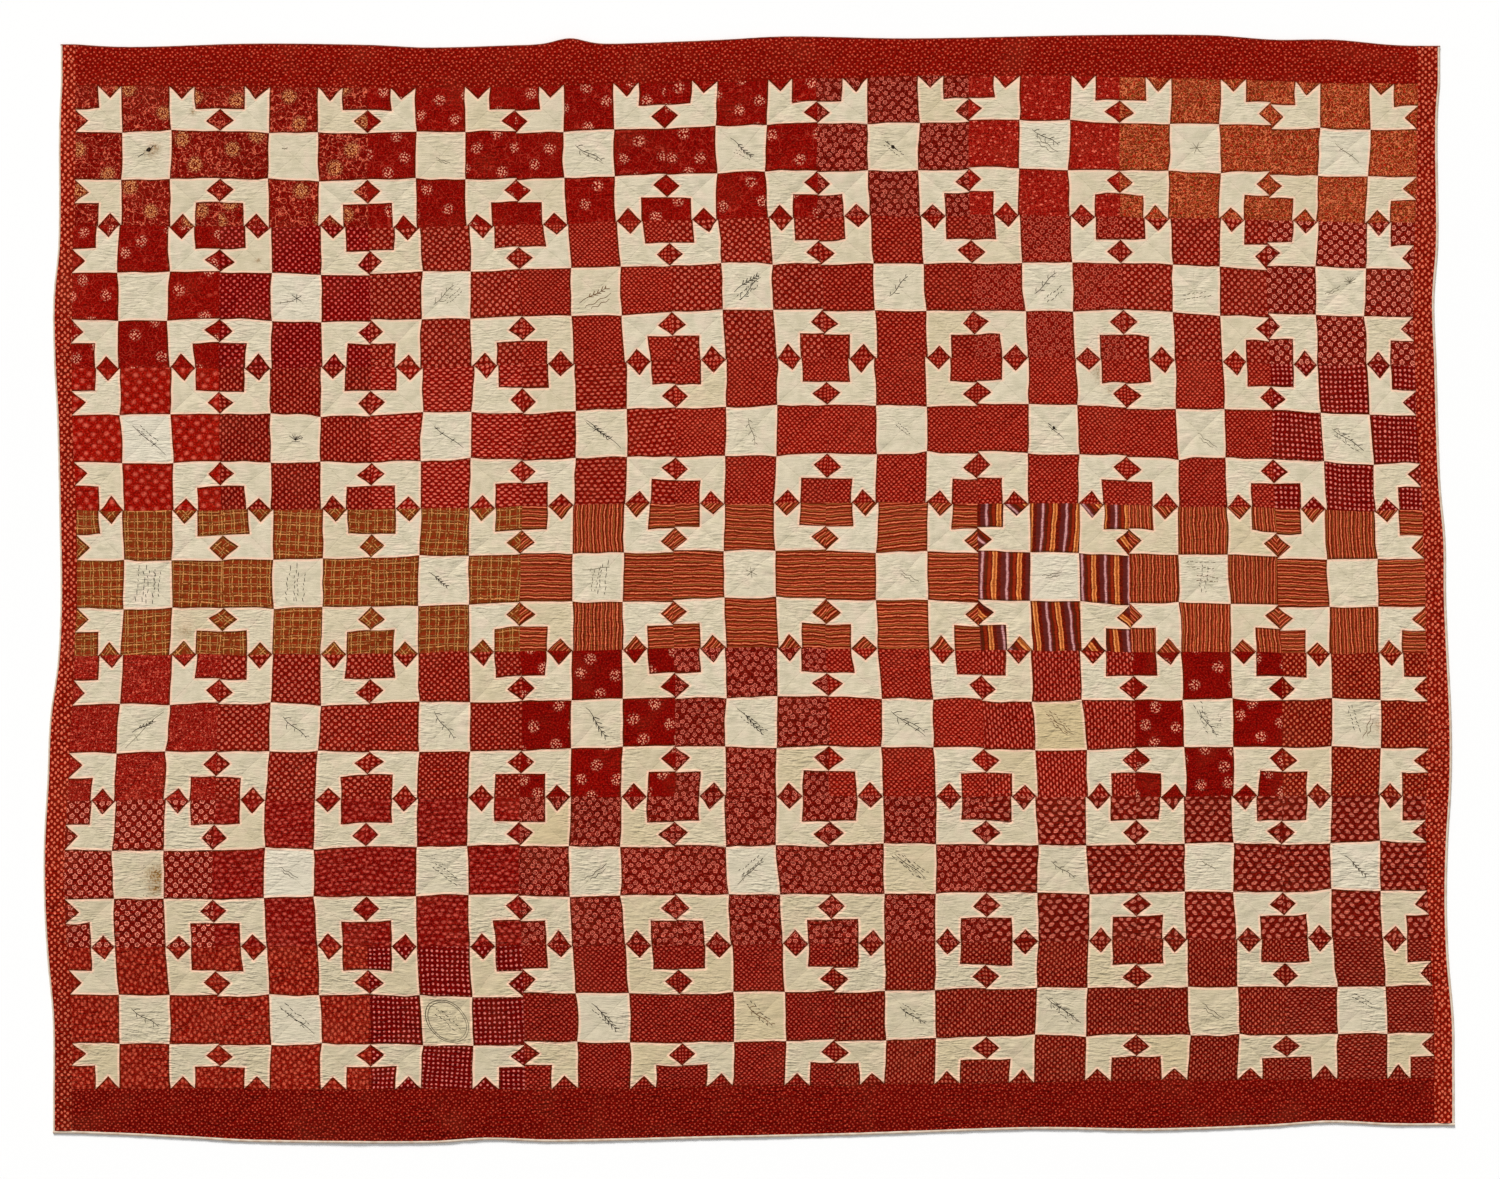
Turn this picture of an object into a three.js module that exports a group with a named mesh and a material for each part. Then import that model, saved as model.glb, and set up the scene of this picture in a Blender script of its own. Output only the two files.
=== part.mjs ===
import * as THREE from 'three';

// A signature quilt lying flat, in millimetres. X runs across it, Y towards its top edge, and Z up
// from the surface that it lies on. Nine by seven pieced blocks make the centre. Print borders frame
// it, the side ones running the full height, and a narrow cream binding goes all round.

// Blocks, pieced three patches by three from nine-inch blocks, and drawn up a little more one way.
const BLOCKS_ACROSS = 9;
const BLOCKS_DOWN = 7;
const PATCHES_A_BLOCK = 3;
const PATCH_WIDTH = 76.2;
const PATCH_HEIGHT = 73.3;
const BORDER_SEAM_TAKE = 5; // what the border seams take from the outermost patches

// Cloth.
const THICKNESS_AT_LINES = 2.4; // where quilting stitches pull the layers together
const PUFF = 1.8; // how far the filling lifts the cloth between the lines
const LEAST_PUFF = 0.7; // the share of the puff that is left where the filling is thinnest
const BINDING_SEAM_THICKNESS = 2.9;
const BINDING_EDGE_THICKNESS = 1.7;
const SEAM_GAP = 0.32; // between neighbouring pieces
const STEPS_A_PATCH = 2; // a point at each corner, edge middle and centre of a patch

// Finished outline: how far each edge lies from the middle, and its wander along the way.
const LEFT_REACH = 1062;
const RIGHT_REACH = 1064;
const TOP_REACH = 830;
const BOTTOM_REACH = 842;
const BINDING_WIDTH = { left: 3, right: 4, top: 2, bottom: 4.5 };

// Each edge's wander: where along the edge, and how far out from the reach.
const TOP_EDGE = [
  { at: -1060, out: -3 }, { at: -950, out: -9 }, { at: -760, out: -4 }, { at: -580, out: -6 },
  { at: -490, out: -10 }, { at: -340, out: -6 }, { at: -200, out: -4 }, { at: -40, out: 2 },
  { at: 60, out: 7 }, { at: 240, out: 4 }, { at: 520, out: 9 }, { at: 700, out: 9 },
  { at: 800, out: 2 }, { at: 890, out: 2 }, { at: 980, out: -6 }, { at: 1060, out: -8 },
];
const BOTTOM_EDGE = [
  { at: -1060, out: -6 }, { at: -950, out: -2 }, { at: -850, out: 3 }, { at: -760, out: 8 },
  { at: -490, out: 10 }, { at: -400, out: 5 }, { at: -300, out: 8 }, { at: -30, out: 2 },
  { at: 150, out: -2 }, { at: 430, out: -11 }, { at: 610, out: -9 }, { at: 790, out: -15 },
  { at: 885, out: -21 }, { at: 980, out: -17 }, { at: 1070, out: -17 },
];
const LEFT_EDGE = [
  { at: -830, out: 3 }, { at: -755, out: 1 }, { at: -660, out: 2 }, { at: -570, out: 10 },
  { at: -480, out: 15 }, { at: -390, out: 15 }, { at: -300, out: 10 }, { at: -205, out: 6 },
  { at: -115, out: -6 }, { at: -20, out: -10 }, { at: 70, out: -9 }, { at: 250, out: -5 },
  { at: 345, out: 0 }, { at: 435, out: 1 }, { at: 525, out: -7 }, { at: 710, out: -8 },
  { at: 800, out: -13 },
];
const RIGHT_EDGE = [
  { at: -820, out: 15 }, { at: -755, out: 11 }, { at: -665, out: 10 }, { at: -570, out: 2 },
  { at: -480, out: -1 }, { at: -390, out: 1 }, { at: -300, out: 6 }, { at: -205, out: 6 },
  { at: -115, out: 2 }, { at: -20, out: -2 }, { at: 70, out: -3 }, { at: 160, out: -11 },
  { at: 345, out: -17 }, { at: 435, out: -20 }, { at: 525, out: -14 }, { at: 710, out: -15 },
  { at: 800, out: -8 },
];

// The blocks' own wander, from the top row down: how far the middle of every second block in the row
// sways across and rises up from an even grid.
const BLOCK_ROWS = [
  { sway: [-4, -14, -14, -8, -6], rise: [-4, -7, 5, 12, -1] },
  { sway: [-10, -7, -5, -3, -13], rise: [0, 0, 13, 15, 6] },
  { sway: [-8, -5, 3, 4, -5], rise: [2, 5, 15, 16, 4] },
  { sway: [-2, -7, -2, 7, 5], rise: [3, 8, 15, 12, 4] },
  { sway: [-11, -8, 3, 16, 10], rise: [3, 5, 12, 7, 8] },
  { sway: [-21, -12, 3, 19, 8], rise: [-2, 3, 4, 7, 9] },
  { sway: [-10, -4, 15, 17, 20], rise: [-3, -4, 1, 8, 13] },
];
const BLOCKS_A_STATION = 2;

// Soft swells of the laid cloth: the middle of each, how far it spreads both ways, and its height.
// The long one is the trace of the fold down the middle, and the small one lifts the top edge.
const SWELLS = [
  { x: 8, y: 0, spreadX: 30, spreadY: 900, height: 1.3 },
  { x: -275, y: 800, spreadX: 36, spreadY: 70, height: 3 },
  { x: 0, y: 800, spreadX: 45, spreadY: 60, height: 1.6 },
  { x: -1040, y: -430, spreadX: 60, spreadY: 110, height: 1.6 },
  { x: 1040, y: -240, spreadX: 60, spreadY: 110, height: 1.4 },
  { x: -560, y: -810, spreadX: 130, spreadY: 50, height: 1.4 },
];
const TOP_EDGE_BULGE = { at: -275, spread: 30, out: 9 }; // the small swell pushes the top edge out

const PATCHES_ACROSS = BLOCKS_ACROSS * PATCHES_A_BLOCK;
const PATCHES_DOWN = BLOCKS_DOWN * PATCHES_A_BLOCK;

// A smooth curve through points given by rising knots, level beyond both ends.
function through(knots, values, at) {
  const last = knots.length - 1;
  if (at <= knots[0]) return values[0];
  if (at >= knots[last]) return values[last];
  let k = 0;
  while (at > knots[k + 1]) k += 1;
  const slope = (n) => {
    const before = Math.max(n - 1, 0);
    const after = Math.min(n + 1, last);
    return (values[after] - values[before]) / (knots[after] - knots[before]);
  };
  const span = knots[k + 1] - knots[k];
  const t = (at - knots[k]) / span;
  const rise = values[k + 1] - values[k];
  const bend = (1 - t) * (slope(k) * span - rise) - t * (slope(k + 1) * span - rise);
  return values[k] + t * rise + t * (1 - t) * bend;
}

function wander(edge, at) {
  return through(edge.map((row) => row.at), edge.map((row) => row.out), at);
}

function bell(distance, spread) {
  return Math.exp(-((distance / spread) ** 2));
}

// The outline's four edges.
const leftEdge = (y) => -LEFT_REACH - wander(LEFT_EDGE, y);
const rightEdge = (y) => RIGHT_REACH + wander(RIGHT_EDGE, y);
const bottomEdge = (x) => -BOTTOM_REACH - wander(BOTTOM_EDGE, x);
function topEdge(x) {
  const { at, spread, out } = TOP_EDGE_BULGE;
  return TOP_REACH + wander(TOP_EDGE, x) + out * bell(x - at, spread);
}

// How far the named wander moves a point of the pieced centre, at p patches from its left edge and
// q patches from its bottom edge.
function blockWander(name, p, q) {
  const stations = BLOCK_ROWS[0][name].map((_, n) => n * BLOCKS_A_STATION);
  const column = p / PATCHES_A_BLOCK - 0.5;
  const row = (PATCHES_DOWN - q) / PATCHES_A_BLOCK - 0.5;
  const inRow = BLOCK_ROWS.map((blocks) => through(stations, blocks[name], column));
  return through(BLOCK_ROWS.map((_, n) => n), inRow, row);
}

// The border seam takes a little from the outermost patch at either end of a row.
function seamTake(patches, count) {
  const atStart = Math.max(1 - patches, 0);
  const atEnd = Math.max(patches - (count - 1), 0);
  return BORDER_SEAM_TAKE * (atStart - atEnd);
}

function centrePoint(p, q) {
  const x = (p - PATCHES_ACROSS / 2) * PATCH_WIDTH + seamTake(p, PATCHES_ACROSS);
  const y = (q - PATCHES_DOWN / 2) * PATCH_HEIGHT + seamTake(q, PATCHES_DOWN);
  return { x: x + blockWander('sway', p, q), y: y + blockWander('rise', p, q) };
}

// Past the centre, one step crosses the border and a second one crosses the binding.
function pastCentre(step, centre, edge, binding) {
  const seam = edge - Math.sign(edge) * binding;
  if (step <= 1) return THREE.MathUtils.lerp(centre, seam, step);
  return THREE.MathUtils.lerp(seam, edge, step - 1);
}

// A point of the quilt seen from above, where p and q run on past the centre by up to two steps.
function place(p, q) {
  const { clamp } = THREE.MathUtils;
  const inner = centrePoint(clamp(p, 0, PATCHES_ACROSS), clamp(q, 0, PATCHES_DOWN));
  let { x, y } = inner;
  if (p < 0) x = pastCentre(-p, inner.x, leftEdge(inner.y), BINDING_WIDTH.left);
  if (p > PATCHES_ACROSS) {
    x = pastCentre(p - PATCHES_ACROSS, inner.x, rightEdge(inner.y), BINDING_WIDTH.right);
  }
  if (q < 0) y = pastCentre(-q, inner.y, bottomEdge(inner.x), BINDING_WIDTH.bottom);
  if (q > PATCHES_DOWN) {
    y = pastCentre(q - PATCHES_DOWN, inner.y, topEdge(inner.x), BINDING_WIDTH.top);
  }
  return { x, y };
}

// The height of the top face. Quilting lines cross every patch both ways from corner to corner, so
// corners and patch centres are low, and the filling stands highest in the middle of each seam.
function height(p, q, x, y) {
  let z = SWELLS.reduce((sum, swell) => {
    return sum + swell.height * bell(x - swell.x, swell.spreadX) * bell(y - swell.y, swell.spreadY);
  }, 0);
  const stepsOut = Math.max(-p, p - PATCHES_ACROSS, -q, q - PATCHES_DOWN);
  if (stepsOut > 1) return z + BINDING_EDGE_THICKNESS;
  if (stepsOut === 1) return z + BINDING_SEAM_THICKNESS;
  z += THICKNESS_AT_LINES;
  const betweenLines = Math.abs(Math.round(STEPS_A_PATCH * (p + q))) % 2 === 1;
  if (!betweenLines) return z;
  const fullness = 0.5 + 0.5 * Math.sin(1.7 * p + 0.9 * q) * Math.cos(0.6 * p - 1.3 * q);
  return z + PUFF * THREE.MathUtils.lerp(LEAST_PUFF, 1, fullness);
}

// Where the grid has its points: on past the centre they fall on the seams and the outer edge.
function stations(patches, borderPoints) {
  const steps = Array.from({ length: patches * STEPS_A_PATCH + 1 }, (_, n) => n / STEPS_A_PATCH);
  const border = Array.from({ length: borderPoints }, (_, n) => (n + 1) / borderPoints);
  const before = border.map((step) => -step).reverse();
  return [-2, ...before, ...steps, ...border.map((step) => patches + step), patches + 2];
}
const ACROSS = stations(PATCHES_ACROSS, 1);
const UP = stations(PATCHES_DOWN, 2);

// One piece of the quilt as a closed solid: its top face runs through the grid's points between the
// given limits, walls drop from the rim, and the underside is flat.
function piece(name, pLimits, qLimits, color, roughness) {
  const within = (limits) => (station) => station >= limits[0] && station <= limits[1];
  const ps = ACROSS.filter(within(pLimits));
  const qs = UP.filter(within(qLimits));
  const columns = ps.length - 1;
  const rows = qs.length - 1;
  const positions = [];
  const faces = [];

  // Rims draw in by half the gap where another piece lies beside them.
  const drawIn = (n, count, limits, outer) => {
    if (n === 0 && limits[0] > outer[0]) return SEAM_GAP / 2;
    if (n === count && limits[1] < outer[1]) return -SEAM_GAP / 2;
    return 0;
  };
  for (let j = 0; j <= rows; j += 1) {
    for (let i = 0; i <= columns; i += 1) {
      const { x, y } = place(ps[i], qs[j]);
      const z = height(ps[i], qs[j], x, y);
      const dx = drawIn(i, columns, pLimits, [-2, PATCHES_ACROSS + 2]);
      const dy = drawIn(j, rows, qLimits, [-2, PATCHES_DOWN + 2]);
      positions.push(x + dx, y + dy, z);
    }
  }
  const topIndex = (i, j) => j * (columns + 1) + i;
  const heightAt = (index) => positions[3 * index + 2];
  for (let j = 0; j < rows; j += 1) {
    for (let i = 0; i < columns; i += 1) {
      const [a, b] = [topIndex(i, j), topIndex(i + 1, j)];
      const [d, c] = [topIndex(i, j + 1), topIndex(i + 1, j + 1)];
      // The edge across the cell joins its two lower corners, along the quilting line.
      if (heightAt(a) + heightAt(c) < heightAt(b) + heightAt(d)) faces.push(a, b, c, a, c, d);
      else faces.push(a, b, d, b, c, d);
    }
  }

  // The rim, counterclockwise from above, and the same points on the floor.
  const rim = [];
  for (let i = 0; i < columns; i += 1) rim.push(topIndex(i, 0));
  for (let j = 0; j < rows; j += 1) rim.push(topIndex(columns, j));
  for (let i = columns; i > 0; i -= 1) rim.push(topIndex(i, rows));
  for (let j = rows; j > 0; j -= 1) rim.push(topIndex(0, j));
  const floorIndex = new Map();
  const floorPoint = (index) => {
    if (!floorIndex.has(index)) {
      floorIndex.set(index, positions.length / 3);
      positions.push(positions[3 * index], positions[3 * index + 1], 0);
    }
    return floorIndex.get(index);
  };
  const nextOnRim = (n) => rim[(n + 1) % rim.length];
  rim.forEach((top, n) => {
    const nextTop = nextOnRim(n);
    faces.push(floorPoint(top), floorPoint(nextTop), nextTop);
    faces.push(floorPoint(top), nextTop, top);
  });

  // A broad piece's underside fans out from its middle, and a strip's repeats its grid.
  if (Math.min(columns, rows) > 2) {
    const middle = positions.length / 3;
    positions.push(0, 0, 0);
    rim.forEach((top, n) => faces.push(middle, floorPoint(nextOnRim(n)), floorPoint(top)));
  } else {
    for (let j = 0; j < rows; j += 1) {
      for (let i = 0; i < columns; i += 1) {
        const [a, b] = [topIndex(i, j), topIndex(i + 1, j)].map(floorPoint);
        const [d, c] = [topIndex(i, j + 1), topIndex(i + 1, j + 1)].map(floorPoint);
        faces.push(a, c, b, a, d, c);
      }
    }
  }

  const geometry = new THREE.BufferGeometry();
  geometry.setAttribute('position', new THREE.Float32BufferAttribute(positions, 3));
  geometry.setIndex(faces);
  geometry.computeVertexNormals();
  const material = new THREE.MeshStandardMaterial({ color, roughness, metalness: 0 });
  const mesh = new THREE.Mesh(geometry, material);
  mesh.name = name;
  return mesh;
}

const PIECED_COLOR = 0xa5664c; // red prints and white cloth, mixed
const SIDE_PRINT_COLOR = 0x98382a;
const END_PRINT_COLOR = 0x84312a;
const BINDING_COLOR = 0xd9c6ad;
const CLOTH_ROUGHNESS = 0.9;
const BINDING_ROUGHNESS = 0.85;

const quilt = new THREE.Group();
const [pEnd, qEnd] = [PATCHES_ACROSS, PATCHES_DOWN];

quilt.add(piece('pieced_centre', [0, pEnd], [0, qEnd], PIECED_COLOR, CLOTH_ROUGHNESS));

quilt.add(piece('border_top', [0, pEnd], [qEnd, qEnd + 1], END_PRINT_COLOR, CLOTH_ROUGHNESS));
quilt.add(piece('border_bottom', [0, pEnd], [-1, 0], END_PRINT_COLOR, CLOTH_ROUGHNESS));
quilt.add(piece('border_left', [-1, 0], [-1, qEnd + 1], SIDE_PRINT_COLOR, CLOTH_ROUGHNESS));
quilt.add(piece('border_right', [pEnd, pEnd + 1], [-1, qEnd + 1], SIDE_PRINT_COLOR, CLOTH_ROUGHNESS));

quilt.add(piece('binding_top', [-2, pEnd + 2], [qEnd + 1, qEnd + 2], BINDING_COLOR, BINDING_ROUGHNESS));
quilt.add(piece('binding_bottom', [-2, pEnd + 2], [-2, -1], BINDING_COLOR, BINDING_ROUGHNESS));
quilt.add(piece('binding_left', [-2, -1], [-1, qEnd + 1], BINDING_COLOR, BINDING_ROUGHNESS));
quilt.add(piece('binding_right', [pEnd + 1, pEnd + 2], [-1, qEnd + 1], BINDING_COLOR, BINDING_ROUGHNESS));

// The outline's middle, on the floor, becomes the origin.
const outline = new THREE.Box3().setFromObject(quilt);
const middle = outline.getCenter(new THREE.Vector3());
quilt.position.set(-middle.x, -middle.y, 0);

export default quilt;
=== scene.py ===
import math
from functools import partialmethod

import bpy
import numpy as np
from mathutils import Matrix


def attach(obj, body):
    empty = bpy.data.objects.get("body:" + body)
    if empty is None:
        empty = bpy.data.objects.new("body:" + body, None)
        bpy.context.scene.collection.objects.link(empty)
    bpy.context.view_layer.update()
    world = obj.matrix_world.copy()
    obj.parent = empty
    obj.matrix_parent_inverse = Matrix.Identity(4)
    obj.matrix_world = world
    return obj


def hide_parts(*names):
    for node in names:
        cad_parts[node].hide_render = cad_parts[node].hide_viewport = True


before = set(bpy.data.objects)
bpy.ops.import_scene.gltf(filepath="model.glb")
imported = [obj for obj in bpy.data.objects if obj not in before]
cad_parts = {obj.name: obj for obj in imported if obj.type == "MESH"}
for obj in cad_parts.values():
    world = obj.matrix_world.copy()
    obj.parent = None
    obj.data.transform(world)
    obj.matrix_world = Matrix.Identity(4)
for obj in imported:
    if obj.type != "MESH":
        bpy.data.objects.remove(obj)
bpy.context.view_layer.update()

# A signature quilt lying flat, worked out in millimetres from the middle of its block grid: X runs
# across it, Y towards its top edge, Z up. Nine by seven pieced blocks make the centre. Print borders
# frame it, the side ones running the full height, and a narrow binding goes all round.
METRE = 1000.0
BODY = "root"

BLOCKS_ACROSS = 9
BLOCKS_DOWN = 7
PATCHES_A_BLOCK = 3
PATCHES_ACROSS = BLOCKS_ACROSS * PATCHES_A_BLOCK
PATCHES_DOWN = BLOCKS_DOWN * PATCHES_A_BLOCK
PATCH_WIDTH = 76.2
PATCH_HEIGHT = 73.3
BORDER_SEAM_TAKE = 5.0  # what the border seams take from the outermost patches

# Cloth.
THICKNESS_AT_LINES = 2.4
PUFF = 1.8
LEAST_PUFF = 0.7
LINE_WANDER = 0.025  # how far the quilting lines stray, in patches
BINDING_SEAM_THICKNESS = 2.9
BINDING_DIP_START = 0.72  # the share of a border's width where it starts to sink to the binding
BINDING_WIDTH = {"left": 3.0, "right": 4.0, "top": 2.0, "bottom": 4.5}
SEAM_ALLOWANCE = 6.0  # the turned-in cloth along a seam, which lies under the print
TURNED_IN_RISE = 0.4
SEAM_DIP = 0.2
SIDE_DIP = 0.08  # between blocks
DIP_SPREAD = 2.5

# Uneven sewing: long and short waves in where the patches lie.
LONG_WOBBLE = 1.8
SHORT_WOBBLE = 0.9

# How high the puckers stand: long level ones, short ones and slanting ones.
LONG_PUCKER = 0.62
SHORT_PUCKER = 0.34
SLANTING_PUCKER = 0.42
OWN_LINE_DEPTH = 0.8  # a signature's own stitched line
OWN_LINE_SPREAD = 3.5

# Steps of the fine mesh. A patch's own seams cut it in quarters, so its steps divide by four.
STEPS_A_PATCH = 24
BORDER_STEPS = {"top": 20, "bottom": 20, "left": 8, "right": 8}
BINDING_STEPS_A_PATCH = 12

# Finished outline: how far each edge lies from the middle, and its wander along the way.
EDGES = {
    "top": {
        "reach": 830,
        "at": (-1060, -950, -760, -580, -490, -340, -200, -40, 60, 240, 520, 700, 800, 890, 980, 1060),
        "out": (-3, -9, -4, -6, -10, -6, -4, 2, 7, 4, 9, 9, 2, 2, -6, -8),
    },
    "bottom": {
        "reach": 842,
        "at": (-1060, -950, -850, -760, -490, -400, -300, -30, 150, 430, 610, 790, 885, 980, 1070),
        "out": (-6, -2, 3, 8, 10, 5, 8, 2, -2, -11, -9, -15, -21, -17, -17),
    },
    "left": {
        "reach": 1062,
        "at": (-830, -755, -660, -570, -480, -390, -300, -205, -115, -20, 70, 250, 345, 435, 525, 710, 800),
        "out": (3, 1, 2, 10, 15, 15, 10, 6, -6, -10, -9, -5, 0, 1, -7, -8, -13),
    },
    "right": {
        "reach": 1064,
        "at": (-820, -755, -665, -570, -480, -390, -300, -205, -115, -20, 70, 160, 345, 435, 525, 710, 800),
        "out": (15, 11, 10, 2, -1, 1, 6, 6, 2, -2, -3, -11, -17, -20, -14, -15, -8),
    },
}
TOP_EDGE_BULGE = {"at": -275, "spread": 30, "out": 9}

# The blocks' own wander, from the top row down, at the middle of every second block in the row.
BLOCK_SWAY = (
    (-4, -14, -14, -8, -6),
    (-10, -7, -5, -3, -13),
    (-8, -5, 3, 4, -5),
    (-2, -7, -2, 7, 5),
    (-11, -8, 3, 16, 10),
    (-21, -12, 3, 19, 8),
    (-10, -4, 15, 17, 20),
)
BLOCK_RISE = (
    (-4, -7, 5, 12, -1),
    (0, 0, 13, 15, 6),
    (2, 5, 15, 16, 4),
    (3, 8, 15, 12, 4),
    (3, 5, 12, 7, 8),
    (-2, 3, 4, 7, 9),
    (-3, -4, 1, 8, 13),
)
BLOCKS_A_STATION = 2

# Soft swells of the laid cloth: the place of each, how far it spreads across and up, and its height.
SWELLS = (
    (8, 0, 30, 900, 1.3), (-275, 800, 36, 70, 3.0), (0, 800, 45, 60, 1.6), (-1040, -430, 60, 110, 1.6),
    (1040, -240, 60, 110, 1.4), (-560, -810, 130, 50, 1.4),
)

# The main creases: where each starts and ends, its half width, and its height, less than 0 in a trough.
CREASES = (
    ((10, 830), (14, 150), 5, -0.8), ((14, 130), (4, -500), 5, -0.7), ((2, -520), (12, -830), 6, -0.8),
    ((505, -285), (560, -335), 5, -1.1), ((560, 15), (640, -70), 5, -0.9),
    ((-310, 815), (-300, 690), 9, 0.9), ((-235, 820), (-250, 700), 7, -0.8),
    ((-960, -560), (-820, -585), 5, -1.0), ((-560, -620), (-400, -655), 6, -0.9),
    ((180, -640), (360, -615), 5, -0.9), ((690, -560), (860, -590), 6, -1.0),
    ((-700, -280), (-560, -250), 5, -0.8), ((300, 100), (420, 40), 4, -0.8),
    ((820, 330), (930, 290), 5, -0.8),
)


def through(knots, values, at):
    """A smooth curve through values at rising knots, level beyond both ends. Each of the values is a
    number, or an array with one for each of the places at."""
    knots = np.asarray(knots, float)
    values = np.asarray(values, float)
    last = len(knots) - 1
    at = np.clip(np.asarray(at, float), knots[0], knots[last])
    values = np.stack([np.broadcast_to(value, at.shape) for value in values])
    before = np.maximum(np.arange(last + 1) - 1, 0)
    after = np.minimum(np.arange(last + 1) + 1, last)
    runs = (knots[after] - knots[before]).reshape((-1,) + (1,) * at.ndim)
    slopes = (values[after] - values[before]) / runs
    k = np.clip(np.searchsorted(knots, at, side="right") - 1, 0, last - 1)

    def pick(table, index):
        return np.take_along_axis(table, index[None], 0)[0]

    span = knots[k + 1] - knots[k]
    t = (at - knots[k]) / span
    rise = pick(values, k + 1) - pick(values, k)
    bend = (1 - t) * (pick(slopes, k) * span - rise) - t * (pick(slopes, k + 1) * span - rise)
    return pick(values, k) + t * rise + t * (1 - t) * bend


def bell(distance, spread):
    return np.exp(-((distance / spread) ** 2))


def smooth(value, low, high):
    """From 0 at low to 1 at high, with soft ends."""
    t = np.clip((value - low) / (high - low), 0, 1)
    return t * t * (3 - 2 * t)


NOISE_SIZE = 64
NOISE = np.random.default_rng(11).random((NOISE_SIZE, NOISE_SIZE))


def noise(x, y, layer):
    """Smooth noise between -1 and 1, about one hill or hollow a unit."""
    x, y = x + 17.3 * layer, y + 9.1 * layer
    i, j = np.floor(x).astype(int), np.floor(y).astype(int)
    share_x, share_y = smooth(x - i, 0, 1), smooth(y - j, 0, 1)

    def row(above):
        left = NOISE[(j + above) % NOISE_SIZE, i % NOISE_SIZE]
        right = NOISE[(j + above) % NOISE_SIZE, (i + 1) % NOISE_SIZE]
        return left + share_x * (right - left)

    return 2 * (row(0) + share_y * (row(1) - row(0))) - 1


def edge(side, along):
    """How far out an edge of the outline lies, with its sign."""
    row = EDGES[side]
    out = row["reach"] + through(row["at"], row["out"], along)
    if side == "top":
        out = out + TOP_EDGE_BULGE["out"] * bell(along - TOP_EDGE_BULGE["at"], TOP_EDGE_BULGE["spread"])
    return out if side in ("top", "right") else -out


def block_wander(table, p, q):
    """The blocks' wander at p patches from the centre's left edge and q from its bottom edge."""
    stations = np.arange(len(table[0])) * BLOCKS_A_STATION
    column = p / PATCHES_A_BLOCK - 0.5
    row = (PATCHES_DOWN - q) / PATCHES_A_BLOCK - 0.5
    in_row = [through(stations, blocks, column) for blocks in table]
    return through(np.arange(len(table)), in_row, row)


def seam_take(patches, count):
    at_start = np.maximum(1 - patches, 0)
    at_end = np.maximum(patches - (count - 1), 0)
    return BORDER_SEAM_TAKE * (at_start - at_end)


def centre_point(p, q, wobble=1.0):
    """A point of the pieced centre seen from above. The wobble is the sewing's own unevenness."""
    x = (p - PATCHES_ACROSS / 2) * PATCH_WIDTH + seam_take(p, PATCHES_ACROSS)
    y = (q - PATCHES_DOWN / 2) * PATCH_HEIGHT + seam_take(q, PATCHES_DOWN)
    x = x + block_wander(BLOCK_SWAY, p, q)
    y = y + block_wander(BLOCK_RISE, p, q)
    stray = [
        LONG_WOBBLE * noise(1.2 * p, 1.2 * q, layer) + SHORT_WOBBLE * noise(3.7 * p, 3.7 * q, layer + 1)
        for layer in (1, 3)
    ]
    return x + wobble * stray[0], y + wobble * stray[1]


def past_centre(step, centre, outline, binding):
    """Past the centre, one step crosses the border and a second one crosses the binding."""
    seam = outline - np.sign(outline) * binding
    in_border = centre + np.minimum(step, 1) * (seam - centre)
    return np.where(step <= 1, in_border, seam + (step - 1) * (outline - seam))


def lay(p, q, wobble=1.0):
    """A point of the quilt seen from above, where p and q run on past the centre by up to two steps,
    and its place in the quilting, which goes on at the patches' own size."""
    inner_p, inner_q = np.clip(p, 0, PATCHES_ACROSS), np.clip(q, 0, PATCHES_DOWN)
    inner_x, inner_y = centre_point(inner_p, inner_q, wobble)
    left = past_centre(-p, inner_x, edge("left", inner_y), BINDING_WIDTH["left"])
    right = past_centre(p - PATCHES_ACROSS, inner_x, edge("right", inner_y), BINDING_WIDTH["right"])
    bottom = past_centre(-q, inner_y, edge("bottom", inner_x), BINDING_WIDTH["bottom"])
    top = past_centre(q - PATCHES_DOWN, inner_y, edge("top", inner_x), BINDING_WIDTH["top"])
    x = np.where(p < 0, left, np.where(p > PATCHES_ACROSS, right, inner_x))
    y = np.where(q < 0, bottom, np.where(q > PATCHES_DOWN, top, inner_y))
    across = inner_p + (x - inner_x) / PATCH_WIDTH + wobble * LINE_WANDER * noise(x / 35, y / 35, 18)
    up = inner_q + (y - inner_y) / PATCH_HEIGHT + wobble * LINE_WANDER * noise(x / 35, y / 35, 19)
    return x, y, across, up


def outline_middle():
    """The middle of the outline's box, which is the origin of the frame."""
    p = np.concatenate([[-2.0], np.arange(-1, PATCHES_ACROSS + 1.5, 0.5), [PATCHES_ACROSS + 2.0]])
    q = np.concatenate([[-2.0], np.arange(-1, PATCHES_DOWN + 1.5, 0.5), [PATCHES_DOWN + 2.0]])
    x, y, _, _ = lay(*np.meshgrid(p, q), wobble=0.0)
    return (x.min() + x.max()) / 2, (y.min() + y.max()) / 2


MIDDLE = outline_middle()


def swell(x, y):
    total = np.zeros_like(x)
    for at_x, at_y, spread_x, spread_y, height in SWELLS:
        total += height * bell(x - at_x, spread_x) * bell(y - at_y, spread_y)
    return total


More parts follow.
